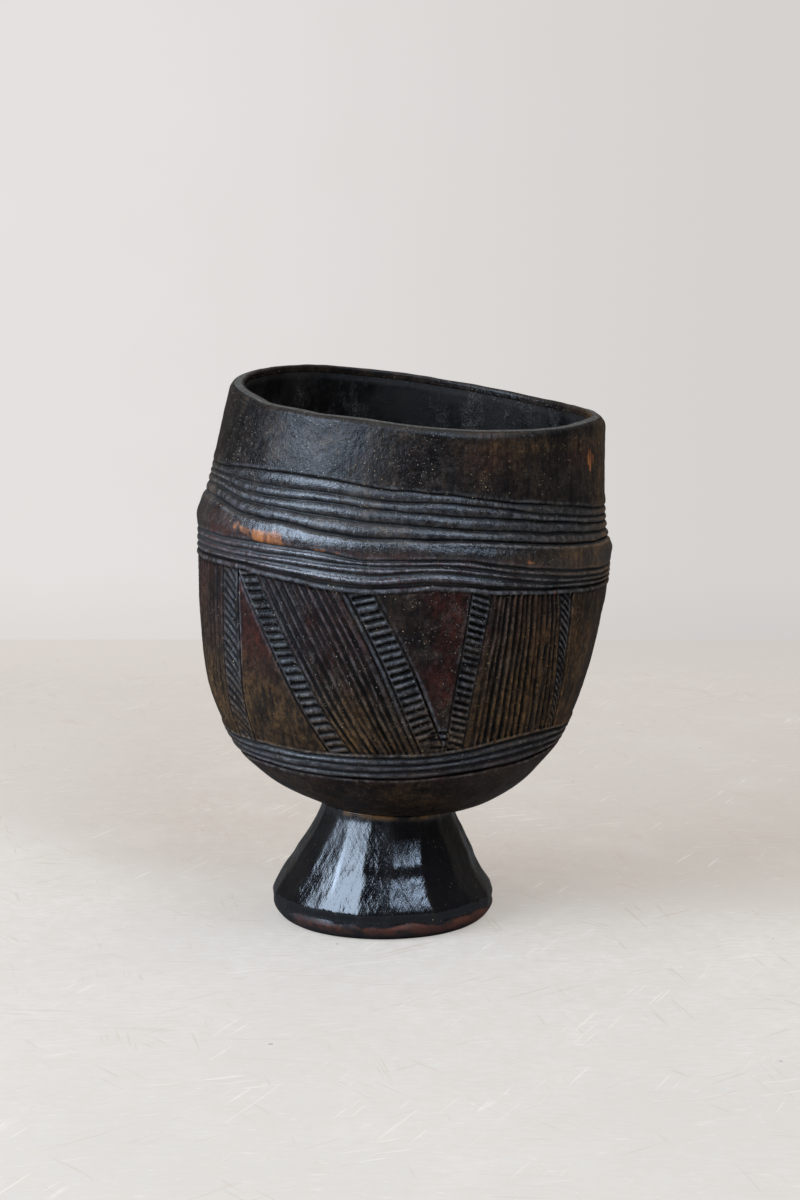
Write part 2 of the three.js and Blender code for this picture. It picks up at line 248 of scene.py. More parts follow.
def rings_of_cuts(band, angle, height):
    """The grooves of one band and the ridges between them.

    Between two lines the ridge stands as the sine of the way across, to the band's power: a low power gives
    broad round ridges, a high one thin ridges and wide valleys. The outer flanks are a knife's groove.
    All are shallower at the far left, at -86 degrees.
    """
    lines, power, seed = band
    at = [cut_line(band, number, angle) for number in range(len(lines))]
    deep = [depth * (1 + 0.25 * drift(seed + 20 + number, angle, 0 * angle, 47, 1))
            for number, (knots, depth, wide) in enumerate(lines)]
    faint = 1 - 0.55 * blot(angle, 0, -86, 0, 20, 1)
    deep = [depth * faint for depth in deep]
    cuts = np.where(height >= at[0], knife_cut(height - at[0], lines[0][2], deep[0]), 0)
    cuts = np.where(height <= at[-1], knife_cut(height - at[-1], lines[-1][2], deep[-1]), cuts)
    for upper in range(len(lines) - 1):
        lower = upper + 1
        way = (height - at[lower]) / (at[upper] - at[lower])
        ridge = np.abs(np.sin(np.pi * np.clip(way, 0, 1))) ** power
        shade = deep[lower] + (deep[upper] - deep[lower]) * way
        cuts = np.where((way > 0) & (way < 1), -shade * (1 - ridge), cuts)
    return cuts


# The carved field: the angles where its three repeats start, and how the second border leans, in degrees a mm
FIELD_STARTS = (-50.0, 52.5, 181.0, 310.0)
FIRST_LEAN = 0.139
# How many degrees wider than in the first repeat the plain triangle, the hatching and the open triangle are
GAINS = ((0, 0, 0), (28, 0, 0), (8, 8, 6))
# How many cuts the slanting and the upright hatching have, and the upright ones' depth and part of their room
HATCH_COUNTS = ((10, 14), (10, 12), (12, 9))
HATCH_CUTS = ((0.8, 0.84), (0.8, 0.84), (0.34, 0.5))
# Upright lines of a repeat: a height, its angle past the border there, and the degrees gained a mm below it
TRIANGLE_EDGE = (106, 1.4, 0.66)
MIDDLE_EDGE = (107.4, 35.1, 0.52)
CLOSING_EDGE = (108, 68.3, -0.083)
# The last ladder's width in degrees at the field's top and bottom, and those two heights
LAST_LADDER = ((5.2, 3.2), (7, 8), (7.3, 9.5))
FIELD_HIGH, FIELD_LOW = 107, 64
# From rung to rung in mm, and in the last ladder
RUNG_PITCH, LAST_PITCH = 1.96, 2.3


def along_edge(edge, height):
    """The angle of one of a repeat's upright lines at a height, past the repeat's border."""
    at_height, at_angle, slope = edge
    return at_angle + slope * (at_height - height)


def field_border(number, height):
    """The angle of the deep line where a repeat starts. The second one leans."""
    lean = FIRST_LEAN if number == 1 else 0.0
    return FIELD_STARTS[number] + lean * (102 - height)


def ladder(across, along, pitch, depth, seed):
    """Rungs between chip cuts.

    Along the ladder a rung stands as the power 1.5 of the sine without its sign. Across it, from 0 to 1,
    the cuts run out at both edges.
    """
    along = along + 0.35 * drift(seed, 0 * along, along, 3, 5.5)
    number = np.floor(along / pitch)
    rung = np.abs(np.sin(np.pi * along / pitch)) ** 1.5
    ends = ease(0, 0.14, across) * ease(0, 0.14, 1 - across)
    return -depth * (1 + 0.4 * dealt(seed + 1, number)) * (1 - rung) * ends


def hatching(across, count, width_mm, along, depth, fill, seed):
    """Cuts side by side over a width, which is 0 to 1 across, each as wide as a share of its room.

    Each wavers, has its own depth and shift, and now and then runs out.
    """
    number = np.round(across * count)
    shift = 0.17 * dealt(seed, number) + 0.12 * drift(seed + 1, number * 37.0, along, 11, 8)
    distance = (across * count - number - shift) * width_mm / count
    force = 0.85 + 0.4 * dealt(seed + 2, number) + 0.35 * drift(seed + 3, number * 53.0, along, 13, 5)
    inner = (number > 0.5) & (number < count - 0.5)
    half_width = fill * 0.5 * width_mm / count
    return np.where(inner, gouge_cut(distance, half_width, depth * np.clip(force, 0.2, 1.35)), 0)


def field(angle, height):
    """The carved field's cuts and its plain areas.

    Each repeat runs from its border as: plain triangle, slanting ladder, slanting hatching, middle ladder,
    open triangle, upright ladder, upright hatching, and a last ladder against the next border's deep line.
    A short ladder fills the open triangle's lower point. Returns the depth, and masks of the plain triangle,
    the open one and the hatched parts.
    """
    angle, height = np.broadcast_arrays((angle + 50.0) % TURN - 50.0, height)
    per_degree = np.radians(outside(height))
    depth, plain, opened, hatched = (np.zeros(angle.shape) for _ in range(4))
    for turn in range(3):
        start, stop = field_border(turn, height), field_border(turn + 1, height)
        here = (angle >= start) & (angle < stop)
        if not here.any():
            continue
        plain_gain, hatch_gain, open_gain = GAINS[turn]
        slanting, upright = HATCH_COUNTS[turn]
        upright_depth, upright_fill = HATCH_CUTS[turn]
        a, h, mm = (angle - start)[here], height[here], per_degree[here]
        width = (stop - start)[here]
        seed = 100 + 40 * turn

        waver = 0.5 * drift(seed, 0 * h, h, 3, 12)
        triangle = along_edge(TRIANGLE_EDGE, h) + plain_gain + waver
        left_ladder = (triangle + 0.9, triangle + 7.6 - 0.5 * waver)
        bow = np.sin(np.pi * (MIDDLE_EDGE[0] - h) / (FIELD_HIGH - FIELD_LOW))
        middle = along_edge(MIDDLE_EDGE, h) + plain_gain + hatch_gain + bow
        middle_ladder = (middle, middle + 7.1)
        closing_waver = 0.5 * drift(seed + 1, 0 * h, h, 3, 15)
        closing = along_edge(CLOSING_EDGE, h) + plain_gain + hatch_gain + open_gain + closing_waver
        right_ladder = (closing, closing + 5.3)
        top, low = LAST_LADDER[turn]
        last = width - (top + (low - top) * (FIELD_HIGH - h) / (FIELD_HIGH - FIELD_LOW))

        cuts = np.zeros(a.shape)
        rough = np.zeros(a.shape)

        def strip(edge, half_width, deep, slope=0.85):
            return knife_cut((a - edge) * mm * slope, half_width, deep)

        def between(left, right):
            return (a > left) & (a < right)

        def lay(where, what):
            nonlocal cuts
            cuts = np.where(where, np.minimum(cuts, what), cuts)

        left, right = left_ladder
        s = (a - left) / (right - left)
        lay(between(left, right), ladder(s, h - 1.0 * (s - 0.5), RUNG_PITCH, 0.85, seed + 2))
        cuts = np.minimum(cuts, strip(triangle + 0.3, 0.55, 0.6))
        cuts = np.minimum(cuts, strip(right + 0.1, 0.45, 0.5))

        left, right = middle_ladder
        s = (a - left) / (right - left)
        reach = ease(66, 71, h)
        rungs = ladder(s, h - 1.8 * (s - 0.5), RUNG_PITCH, 0.9, seed + 4)
        lay(between(left, right) & (right < closing + 1), rungs * reach)
        cuts = np.minimum(cuts, strip(left - 0.2, 0.5, 0.6))
        cuts = np.minimum(cuts, strip(left - 2.1, 0.45, 0.55))
        cuts = np.minimum(cuts, strip(right + 0.1, 0.6, 0.4 + 0.7 * ease(92, 80, h)) * ease(64.5, 70, h))

        left, right = left_ladder[1] + 0.4, middle_ladder[0] - 2.2
        s = (a - left) / (right - left)
        here_hatched = between(left, right)
        slanting_cuts = hatching(s, slanting, (right - left) * mm * 0.85, h, 0.62, 0.83, seed + 6)
        lay(here_hatched, slanting_cuts)
        rough = np.maximum(rough, here_hatched)

        left, right = right_ladder
        s = (a - left) / (right - left)
        lay(between(left, right), ladder(s, h + 1.6 * (s - 0.5), RUNG_PITCH, 0.85, seed + 10))
        cuts = np.minimum(cuts, strip(left - 0.2, 0.5, 0.6, 1))
        cuts = np.minimum(cuts, strip(right + 0.1, 0.45, 0.5, 1))

        left, right = right_ladder[1] + 0.2, last
        s = (a - left) / (right - left)
        here_hatched = between(left, right)
        upright_cuts = hatching(s, upright, (right - left) * mm, h, upright_depth, upright_fill, seed + 12)
        lay(here_hatched, upright_cuts)
        rough = np.maximum(rough, here_hatched)

        left, right = last, width - 0.5
        s = (a - left) / (right - left)
        slant = 4.6 * (s - 0.5) + 2.0 * (s - 0.5) ** 2
        lay(between(left, right), ladder(s, h + slant, LAST_PITCH, 0.5, seed + 16))
        cuts = np.minimum(cuts, strip(left - 0.1, 0.5, 0.7, 1))
        cuts = np.minimum(cuts, strip(width - 0.1, 0.65, 1.2, 1))
        cuts = np.minimum(cuts, strip(0 * a - 0.1, 0.65, 1.2, 1))

        short = (a - (59.5 + plain_gain + hatch_gain)) / 6.5
        rungs = ladder(short, h + 0.3 * short, RUNG_PITCH, 0.65, seed + 18)
        lay((short > 0) & (short < 1), rungs * ease(64.5, 65.5, h) * ease(71.5, 70.5, h))

        depth[here] = cuts
        plain[here] = (a < triangle) & (a > 0)
        opened[here] = between(middle_ladder[1] + 0.5, closing - 0.5)
        hatched[here] = rough

    top = cut_line(SHOULDERS, 3, angle) - 1.5
    low = cut_line(LOWER, 0, angle) + 1.1
    within = ease(top + 0.15, top - 0.4, height) * ease(low - 0.15, low + 0.5, height)
    return (depth - 0.35) * within, plain * within, opened * within, hatched * within


def carving(angle, height):
    """How far the carved skin stands out from the smooth bowl, in mm, and the field's three masks."""
    angle, height = np.broadcast_arrays(angle, height)
    waver = 0.2 * drift(1, angle, height, 23, 15) + 0.1 * drift(2, angle, height, 64, 6)
    worn = 0.05 * drift(3, angle, height, 300, 1.6)
    roll = 0.45 * np.exp(-((height - 119.6) / 2.0) ** 2)
    cords = 0.3 * ease(121.5, 123.5, height) * ease(137.5, 135, height)
    deep = np.zeros(angle.shape)
    for band, low, high in ((UPPER, 119, 139), (SHOULDERS, 106, 120), (LOWER, 52, 68)):
        near = (height > low) & (height < high)
        if near.any():
            deep[near] = rings_of_cuts(band, angle[near], height[near])
    plain = opened = hatched = np.zeros(angle.shape)
    if ((height > 60) & (height < 110)).any():
        cut, plain, opened, hatched = field(angle, height)
        deep = np.minimum(deep, cut)
    return waver + worn + roll + cords + deep, (plain, opened, hatched)


def relief(angle, height, skin):
    """How much a point is sunk below, or stands proud of, the mean of eight points 0.9 mm round it."""
    reach = 0.9
    mean = 0
    for step in range(8):
        turn = np.pi * step / 4
        across = np.degrees(reach * np.cos(turn) / outside(height))
        mean = mean + carving(angle + across, height + reach * np.sin(turn))[0] / 8
    return np.clip((mean - skin) / 0.3, 0, 1), np.clip((skin - mean) / 0.3, 0, 1)


def blot(angle, height, at, high, wide, tall):
    """A soft patch: the bell curve of the distance from its middle, in degrees round and mm up."""
    off = (angle - at + 180) % TURN - 180
    return np.exp(-(off / wide) ** 2 - ((height - high) / tall) ** 2)


# Soft patches on the bowl: strength, angle from the front, height, and reach in degrees and in mm
WORN_PATCHES = ((1.1, -39, 118.4, 6.5, 2.0), (0.6, -49, 119.8, 5, 1.3), (0.55, -47, 114.6, 5, 0.8),
                (0.5, 16, 118.3, 2, 0.7), (0.6, 35, 118, 2.5, 1.0), (1.0, 62.5, 148.4, 3.4, 3.8),
                (0.4, 72, 144, 3, 6), (0.5, 44, 109.5, 1.5, 5), (0.35, 150, 119, 16, 3),
                (0.4, 235, 118, 12, 3))
RED_PATCHES = ((0.7, -62, 116, 20, 6), (0.5, 22, 149, 7, 6), (0.35, 58, 150, 12, 4))
# The ochre patches at 84 and 90 degrees, along the right outline, are partly a painted reflection of the
# wall.
OCHRE_PATCHES = ((1.8, 68, 118, 26, 5), (0.6, 76, 90, 16, 30), (0.5, -74, 76, 14, 24), (2.4, 84, 147, 14, 18),
                 (0.7, 46, 153.5, 26, 2.2), (0.4, -82, 128, 14, 12), (1.2, 90, 130, 12, 30),
                 (0.4, 24, 150, 9, 9), (0.35, 180, 80, 70, 22))
DUSTY_PATCHES = ((0.6, -32, 146, 34, 10), (0.4, -2, 140, 22, 6), (0.5, 12, 90, 28, 26))
DULL_PATCHES = ((0.8, 66, 138, 24, 30), (0.6, 66, 116, 20, 8), (0.6, -82, 130, 14, 26), (0.6, 60, 86, 30, 30),
                (0.6, -57, 84, 8, 40))


def patches(angle, height, table):
    """The sum of a table's soft patches."""
    return sum(strength * blot(angle, height, *patch) for strength, *patch in table)


def bowl_marks(angle, height, masks):
    """Where the wood is worn orange, red under its polish, ochre with painted reflection, dusty or dull, from
    0 to 1.
    """
    plain, opened, hatched = masks
    roll = ease(115.5, 117, height) * ease(120.5, 118.6, height)
    right_side = ease(40, 56, (angle + 180) % TURN - 180)
    worn = patches(angle, height, WORN_PATCHES) + 0.52 * roll * blot(angle, height, -26, 117.1, 12, 0.9)
    red = (patches(angle, height, RED_PATCHES) + opened * (0.08 + blot(angle, height, 14, 96, 6, 22))
           + 0.85 * plain * ease(76, 94, height) * (1 - right_side)
           + 0.4 * hatched * ease(76, 96, height) * (1 - right_side)
           + 1.6 * roll * blot(angle, height, -8, 116.9, 36, 1.6)
           + 0.6 * ease(108, 110, height) * ease(117, 115, height) * blot(angle, height, -20, 113, 44, 9)
           + 0.35 * ease(63, 58, height) * ease(50, 54, height))
    # The last term, ochre below 60 mm, is a painted reflection of the bright floor.
    ochre_and_reflection = (patches(angle, height, OCHRE_PATCHES) + 0.6 * plain * ease(96, 76, height)
             + 0.7 * right_side * plain + 0.6 * ease(86, 66, height) * ease(62, 66, height) * (1 - opened)
             + 0.9 * hatched * blot(angle, height, 42, 86, 18, 30) + 0.35 * hatched * ease(92, 74, height)
             + 0.5 * ease(60, 50, height))
    dusty = (patches(angle, height, DUSTY_PATCHES) + 0.55
             + 0.4 * ease(120, 126, height) * ease(139, 134, height) - 0.35 * plain)
    dull = patches(angle, height, DULL_PATCHES) + 0.55 * ease(84, 66, height) + 0.3 * opened + 0.5 * plain
    found = {"worn": worn, "red": red, "ochre_and_reflection": ochre_and_reflection, "dusty": dusty, "dull": dull}
    return {name: np.clip(value, 0, 1) for name, value in found.items()}


# Meshes

def closed_skin(name, rings, flat_from, material, node, marks, poles=False):
    """A closed skin over a stack of rings of points, given in mm.

    Four points of two rings make a face. The last ring joins the first, or with poles each end ring
    joins the middle of its own points. The rings named by flat_from start faces that are shaded flat.
    """
    rows, count = rings.shape[:2]
    points = rings.reshape(-1, 3)
    i = np.arange(count)
    after = (i + 1) % count
    pairs = rows - 1 if poles else rows
    row = np.arange(pairs)[:, None]
    above = (row + 1) % rows
    quads = np.stack((row * count + i, row * count + after, above * count + after, above * count + i), -1)
    loops = [quads.ravel()]
    sizes = [np.full(quads.size // 4, 4)]
    flat = np.broadcast_to(np.asarray(flat_from(row, i) if callable(flat_from) else np.isin(row, flat_from)),
                           (pairs, count))
    smooth = [~flat.ravel()]
    if poles:
        ends = np.stack((rings[0].mean(0), rings[-1].mean(0)))
        points = np.vstack((points, ends))
        low, high = rows * count, rows * count + 1
        fans = np.vstack((np.stack((0 * i + low, after, i), -1),
                          np.stack((0 * i + high, (rows - 1) * count + i, (rows - 1) * count + after), -1)))
        loops.append(fans.ravel())
        sizes.append(np.full(len(fans), 3))
        smooth.append(np.zeros(len(fans), bool))
    sizes = np.concatenate(sizes)
    loops = np.concatenate(loops)
    mesh = bpy.data.meshes.new(name)
    mesh.vertices.add(len(points))
    mesh.vertices.foreach_set("co", (points * MM).astype(np.float32).ravel())
    mesh.loops.add(len(loops))
    mesh.loops.foreach_set("vertex_index", loops.astype(np.int32))
    mesh.polygons.add(len(sizes))
    mesh.polygons.foreach_set("loop_start", (np.cumsum(sizes) - sizes).astype(np.int32))
    mesh.polygons.foreach_set("use_smooth", np.concatenate(smooth))
    for mark, values in marks.items():
        values = np.broadcast_to(values, (rows, count)).ravel()
        if poles:
            values = np.concatenate((values, values[:1], values[-1:]))
        layer = mesh.attributes.new(mark, "FLOAT", "POINT")
        layer.data.foreach_set("value", values.astype(np.float32))
    mesh.update(calc_edges=True)
    mesh.materials.append(material)
    piece = bpy.data.objects.new(name, mesh)
    bpy.context.scene.collection.objects.link(piece)
    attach(piece, "root")
    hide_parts(node)
    return piece


def angles(count):
    """Evenly spread angles round the cup, as one row."""
    return np.arange(count)[None, :] * (TURN / count) - 90.0


def skinned(angle, height):
    """The carved skin's points, and the masks that its material reads."""
    skin, masks = carving(angle, height)
    sunk, crest = relief(angle, height, skin)
    marks = bowl_marks(angle, height, masks)
    marks.update(sunk=sunk, crest=crest * (1 - 0.45 * masks[2]))
    return place(angle, height, outside(height) + skin), marks


def carved_band(name, low, high, rows, count, material):
    """One band of the bowl's wall between two cut lines: the carved skin, and a smooth back behind it."""
    angle = angles(count)
    share = np.linspace(0, 1, rows)[:, None]
    bottom, top = cut_line(*low, angle), cut_line(*high, angle)
    angle, height = np.broadcast_arrays(angle, bottom + (top - bottom) * share)
    outer, marks = skinned(angle, height)
    back_share = np.linspace(1, 0, 4)[:, None]
    back_angle, back_height = np.broadcast_arrays(angles(count), bottom + (top - bottom) * back_share)
    inner = place(back_angle, back_height, outside(back_height) - SKIN)
    marks = {key: np.vstack((value, np.zeros((4, count)))) for key, value in marks.items()}
    return closed_skin(name, np.vstack((outer, inner)), list(range(rows - 1, rows + 4)), material, "bowl",
                       marks)


def field_part(name, turn, count, rows, material):
    """One repeat of the carved field, stacked from its border line to the next one.

    The height of the lines above and below depends on the angle, and the border's angle on the height, so
    both are settled in turns.
    """
    along = np.linspace(0, 1, count)[:, None]
    back = 12
    share = np.concatenate((np.linspace(1, 0, rows), np.linspace(0, 1, back)))[None, :]
    height = 65 + 45 * share + 0 * along  # a first guess
    for settle in range(5):
        start, stop = field_border(turn, height), field_border(turn + 1, height)
        angle = start + (stop - start) * along
        low, high = cut_line(LOWER, 0, angle), cut_line(SHOULDERS, 3, angle)
        height = low + (high - low) * share
    outer, marks = skinned(angle[:, :rows], height[:, :rows])
    inner = place(angle[:, rows:], height[:, rows:], outside(height[:, rows:]) - SKIN)
    marks = {key: np.hstack((value, np.zeros((count, back)))) for key, value in marks.items()}
    return closed_skin(name, np.concatenate((outer, inner), 1), lambda row, i: (i >= rows - 1) | (row < 0),
                       material, "bowl", marks, poles=True)


def lip_thickness(angle):
    """How much thicker than its mean the wall is at the rim, in mm."""
    return 0.35 * drift(5, angle, 0 * angle, 9, 1) + 0.15 * drift(6, angle, 0 * angle, 40, 1)


def hollow_radius(angle, height):
    """The hollow's radius at an angle: the smooth one less the rim's thickening, which fades downwards."""
    return inside(height) - lip_thickness(angle) * ease(FLOOR, RIM, height)


def collar(material):
    """The plain collar and the lip over its top.

    The lip turns over a quarter circle outside, whose radius changes round the cup, a nearly flat top and a
    smaller quarter circle inside. A shallow groove runs along the outer one.
    """
    count, under, side_rows = 720, 0.8, 92
    angle = angles(count)
    over = through(LIP_ROUND, angle, TURN)
    side = np.linspace(0, 1, side_rows)[:, None]
    bottom = cut_line(UPPER, 0, angle)
    outer_turn = np.radians(np.linspace(0, 90, 17))[1:, None]
    inner_turn = np.radians(np.linspace(0, 90, 7))[:, None]
    wall = outside(RIM) - hollow_radius(angle, RIM)
    flat = np.linspace(0, 1, 6)[1:-1, None]
    height = np.vstack((bottom + (RIM - over - bottom) * side, RIM - over * (1 - np.sin(outer_turn)),
                        RIM + 0 * flat * over, RIM - under * (1 - np.cos(inner_turn)) + 0 * over))
    inset = np.vstack((0 * side * over, over * (1 - np.cos(outer_turn)), over + (wall - under - over) * flat,
                       wall - under + under * np.sin(inner_turn)))
    angle, height = np.broadcast_arrays(angle, height)
    skin, masks = carving(angle, height)
    on_lip = ease(0.1, 1.6, inset)
    dents = 0.07 * drift(7, angle, inset, 90, 2) + 0.12 * drift(8, angle, inset, 34, 4)
    groove_at = 0.42
    groove = 0.12 * np.exp(-((inset / over - groove_at) / 0.08) ** 2) * (inset > 0)
    radius = outside(height) - inset + skin * (1 - on_lip)
    rise = (dents - groove) * on_lip * ease(0, 0.8, wall - inset)
    rings = place(angle, height + rise, radius)
    down = np.broadcast_to(RIM - np.array((1.2, 1.6, 2.0))[:, None], (3, count))
    inner_side = place(angle[:3], down, hollow_radius(angle[:3], down))
    backing = np.broadcast_to(np.linspace(1, 0, 5)[:, None], (5, count))
    backing = bottom + (RIM - 2.4 - bottom) * backing
    inner = place(angle[:5], backing, outside(backing) - SKIN)
    sunk, crest = relief(angle, height, skin)
    marks = bowl_marks(angle, height, masks)
    # Painted shade: a dark line along the lip's outer groove, laid into the sunk mask.
    shade = 0.9 * np.exp(-((inset / over - groove_at) / 0.07) ** 2) * (inset > 0)
    near = 1 - 0.85 * ease(95, 122, np.abs((angle + 180) % TURN - 180))
    pale_top = ease(0.50, 0.60, inset / over) * ease(wall - under + 0.1, wall - under - 0.3, inset) * near
    marks.update(sunk=np.clip(sunk * (1 - on_lip) + shade, 0, 1), crest=crest * (1 - on_lip), lip=pale_top)
    marks = {key: np.vstack((value, np.broadcast_to(value[-1:], (3, count)), np.zeros((5, count))))
             for key, value in marks.items()}
    rows = len(height) + 3
    return closed_skin("bowl_collar", np.vstack((rings, inner_side, inner)), list(range(rows - 1, rows + 5)),
                       material, "bowl", marks)


def hollow(material):
    """The hollow's wall and floor below the lip, with the broad marks of a gouge, and a backing outside."""
    count = 720
    top = RIM - 2.0
    share = np.linspace(0, 1, 96)[:-1]
    angle, height = np.broadcast_arrays(angles(count), (FLOOR + (top - FLOOR) * (1 - share) ** 2)[:, None])
    fade = ease(0, 0.05, share)[:, None]
    gouged = (0.3 * np.abs(drift(8, angle, height, 26, 34)) + 0.08 * drift(9, angle, height, 120, 5)) * fade
    least = 0.2
    wall = place(angle, height, np.maximum(hollow_radius(angle, height) + gouged, least))
    back_share = np.linspace(1, 0, 16)[1:]
    back_height = (FLOOR - 2) + (top - 0.6 - FLOOR + 2) * (1 - back_share) ** 2
    back_angle, back_grid = np.broadcast_arrays(angles(count), back_height[:, None])
    back_radius = np.maximum(inside(back_grid + 1.2) + 1.5, least)
    back_radius[0] = POLE
    back = place(back_angle, back_grid, back_radius)
    rings = np.vstack((back, wall))
    return closed_skin("bowl_hollow", rings, list(range(len(back))), material, "bowl", {},
                       poles=True)


def underside(material):
    """The bowl's round bottom, from the lowest groove to the seat, with the socket for the foot's tenon.

    Its rings run from the socket's top down, across the seat, up the belly, and back inside it.
    """
    count, rows = 720, 80
    share = np.linspace(0, 1, rows)[:, None]
    top = cut_line(LOWER, 3, angles(count))
    angle, height = np.broadcast_arrays(angles(count), SEAT + (top - SEAT) * share ** 1.4)
    skin, masks = carving(angle, height)
    skin = skin * ease(SEAT, SEAT + 2, height)
    belly = place(angle, height, outside(height) + skin)
    sunk, crest = relief(angle, height, skin)

    turn = np.radians(angles(count)[0])
    round_x, round_y = np.sin(turn), -np.cos(turn)

    def flat_ring(radius, high, slope=0.0):
        x = radius * round_x
        return np.stack((NECK_RIGHT + x, radius * round_y, high - slope * x), -1)[None]

    slope = np.tan(np.radians(SEAT_TILT))
    socket = np.vstack((flat_ring(POLE, SOCKET_TOP), flat_ring(SOCKET_RADIUS, SOCKET_TOP),
                        flat_ring(SOCKET_RADIUS, SEAT, slope)))
    back_angle, back_grid = np.broadcast_arrays(angles(count), top - np.array((0, 1.5, 3, 4.5))[:, None])
    back = place(back_angle, back_grid, outside(back_grid) - SKIN)
    closing = np.vstack((flat_ring(20, 48.6), flat_ring(POLE, 48.4)))
    rings = np.vstack((socket, belly, back, closing))
    before, behind = len(socket), len(back) + len(closing)
    marks = bowl_marks(angle, height, masks)
    # Painted shade: the crease just above the seat is darkened through the sunk mask.
    crease = ease(SEAT + 1.1, SEAT + 0.1, height)
    marks.update(sunk=np.maximum(sunk, 0.7 * crease), crest=crest, crease=crease)
    marks = {key: np.vstack((np.zeros((before, count)), value, np.zeros((behind, count))))
             for key, value in marks.items()}
    flat = [0, 1, 2] + list(range(before + rows - 1, len(rings)))
    return closed_skin("bowl_underside", rings, flat, material, "bowl", marks, poles=True)


# The foot

FOOT_TOP = 35.12
# The foot's radius, and its middle line's distance to the right, at some heights
FOOT_SIDE = ((0, 30), (0.6, 31), (2.6, 32.9), (4.6, 33.9), (6.4, 34.3), (8.2, 34.4), (10, 33.5), (12, 32.2),
             (15, 30.3), (18, 28.5), (21, 27.2), (24, 25.5), (27, 23.9), (30, 22.3), (32.5, 21.3),
             (35.1, 20.9))
FOOT_MIDDLE = ((0, 0), (8, -0.1), (14, -0.5), (20, 0), (27, 0.5), (32, NECK_RIGHT), (36, NECK_RIGHT))
# Each knife facet: the angle that it faces, and how deep its flat lies in the side, low down and high up
FACETS = ((-108, 0.9, 1.3), (-84, 0.7, 1.7), (-62, 0.75, 1.2), (-40, 0.95, 0.55), (-21, 0.75, 0.5),
          (-3.5, 0.7, 0.3), (16, 0.5, 0.5), (38, 0.95, 0.4), (60, 0.6, 0.6), (80, 0.8, 0.35), (101, 0.7, 0.5),
          (122, 0.6, 0.6), (141, 0.8, 0.5), (161, 0.6, 0.4), (180, 0.75, 0.5), (199, 0.6, 0.35),
          (219, 0.8, 0.55), (236, 0.6, 0.4))
# Short cuts across the foot's lower part: the angle, the height of the upper end, and the depth low down
SHORT_CUTS = ((13, 19, 1.15), (-31, 17, 1.0), (49, 15, 0.9), (-52, 14, 0.8), (92, 17, 1.0), (-97, 18, 0.9),
              (150, 16, 1.0), (208, 19, 1.0))


def foot_side(angle, height):
    """The foot's radius: the least of its round side and of each flat's distance over its angle's cosine.

    Where two of them are near, a soft least rounds the ridge between them: the softness times the negative
    logarithm of the sum of e to the power of minus each radius over the softness.
    """
    body = through(FOOT_SIDE, height)
    reach = [body]
    nowhere = 99
    for at, low, high in FACETS:
        off = np.radians((angle - at + 180) % TURN - 180)
        near = np.abs(off) < 1.0
        inset = low + (high - low) * (height - 9) / 21
        wave = 0.16 * drift(int(at) + 900, 0 * height, height, 3, 8)
        flat = (body - np.maximum(inset, 0.05) + wave) / np.cos(np.where(near, off, 0))
        reach.append(np.where(near, flat, nowhere))
    for at, upper, low in SHORT_CUTS:
        off = np.radians((angle - at + 180) % TURN - 180)
        near = np.abs(off) < 0.6
        inset = low - low * (height - 8) / (upper - 8)
        reach.append(np.where(near, (body - inset) / np.cos(np.where(near, off, 0)), nowhere))
    soft = 0.09
    reach = np.stack(reach)
    least = reach.min(0)
    blended = least - soft * np.log(np.exp(-(reach - least) / soft).sum(0))
    below = ease(3.5, 6.5, height)
    return body + (blended - body) * below


def foot(material):
    """The faceted foot, its undercut lower edge, its resting face, and the tenon that goes into the bowl."""
    count, rows = 720, 112
    angle, height = np.broadcast_arrays(angles(count), np.linspace(0, 1, rows)[:, None])
    height = FOOT_TOP * height
    turn = np.radians(angle)
    radius = foot_side(angle, height)
    radius = radius + 0.05 * drift(401, angle, height, 40, 9) + 0.02 * drift(402, angle, height, 200, 2)
    tilt = np.tan(np.radians(SEAT_TILT))
    slope = tilt * ease(26, FOOT_TOP, height)
    side = np.stack((through(FOOT_MIDDLE, height) + radius * np.sin(turn), -radius * np.cos(turn),
                     height - slope * radius * np.sin(turn)), -1)
    nearby = (foot_side(angle + 2, height) + foot_side(angle - 2, height)) / 2
    crest = np.clip((radius - nearby) / 0.12, 0, 1)
    round_x, round_y = np.sin(turn[0]), -np.cos(turn[0])

    def ring(size, high, slant=0.0, right=NECK_RIGHT):
        x = size * round_x
        return np.stack((right + x, size * round_y, high - slant * x), -1)[None]

    bottom = ring(POLE, 0, right=0)
    top = np.vstack((ring(TENON_RADIUS, FOOT_TOP, tilt), ring(TENON_RADIUS, TENON_TOP),
                     ring(POLE, TENON_TOP + 0.2)))
    rings = np.vstack((bottom, side, top))

    def framed(value):
        return np.vstack((np.zeros((1, count)), value, np.zeros((3, count))))

    edge = 5.0 + 0.8 * drift(403, angle, 0 * angle, 25, 1) + 0.5 * drift(404, angle, 0 * angle, 70, 1)
    # Painted highlight: a bluish-grey line on the facet ridges at the front left.
    painted_glint = blot(angle, height, -27, 19, 7, 8) * np.clip(crest * 1.5, 0, 1)
    marks = {"bare": ease(edge + 0.4, edge - 0.5, height), "crest": crest, "painted_glint": painted_glint,
             "crease": ease(33.2, 34.9, height), "neck": ease(20, 29, height), "low": ease(3.2, 0.2, height)}
    marks = {key: framed(value) for key, value in marks.items()}
    return closed_skin("foot_cone", rings, [0, rows, rows + 1, rows + 2], material, "foot",
                       marks, poles=True)


# Shader building

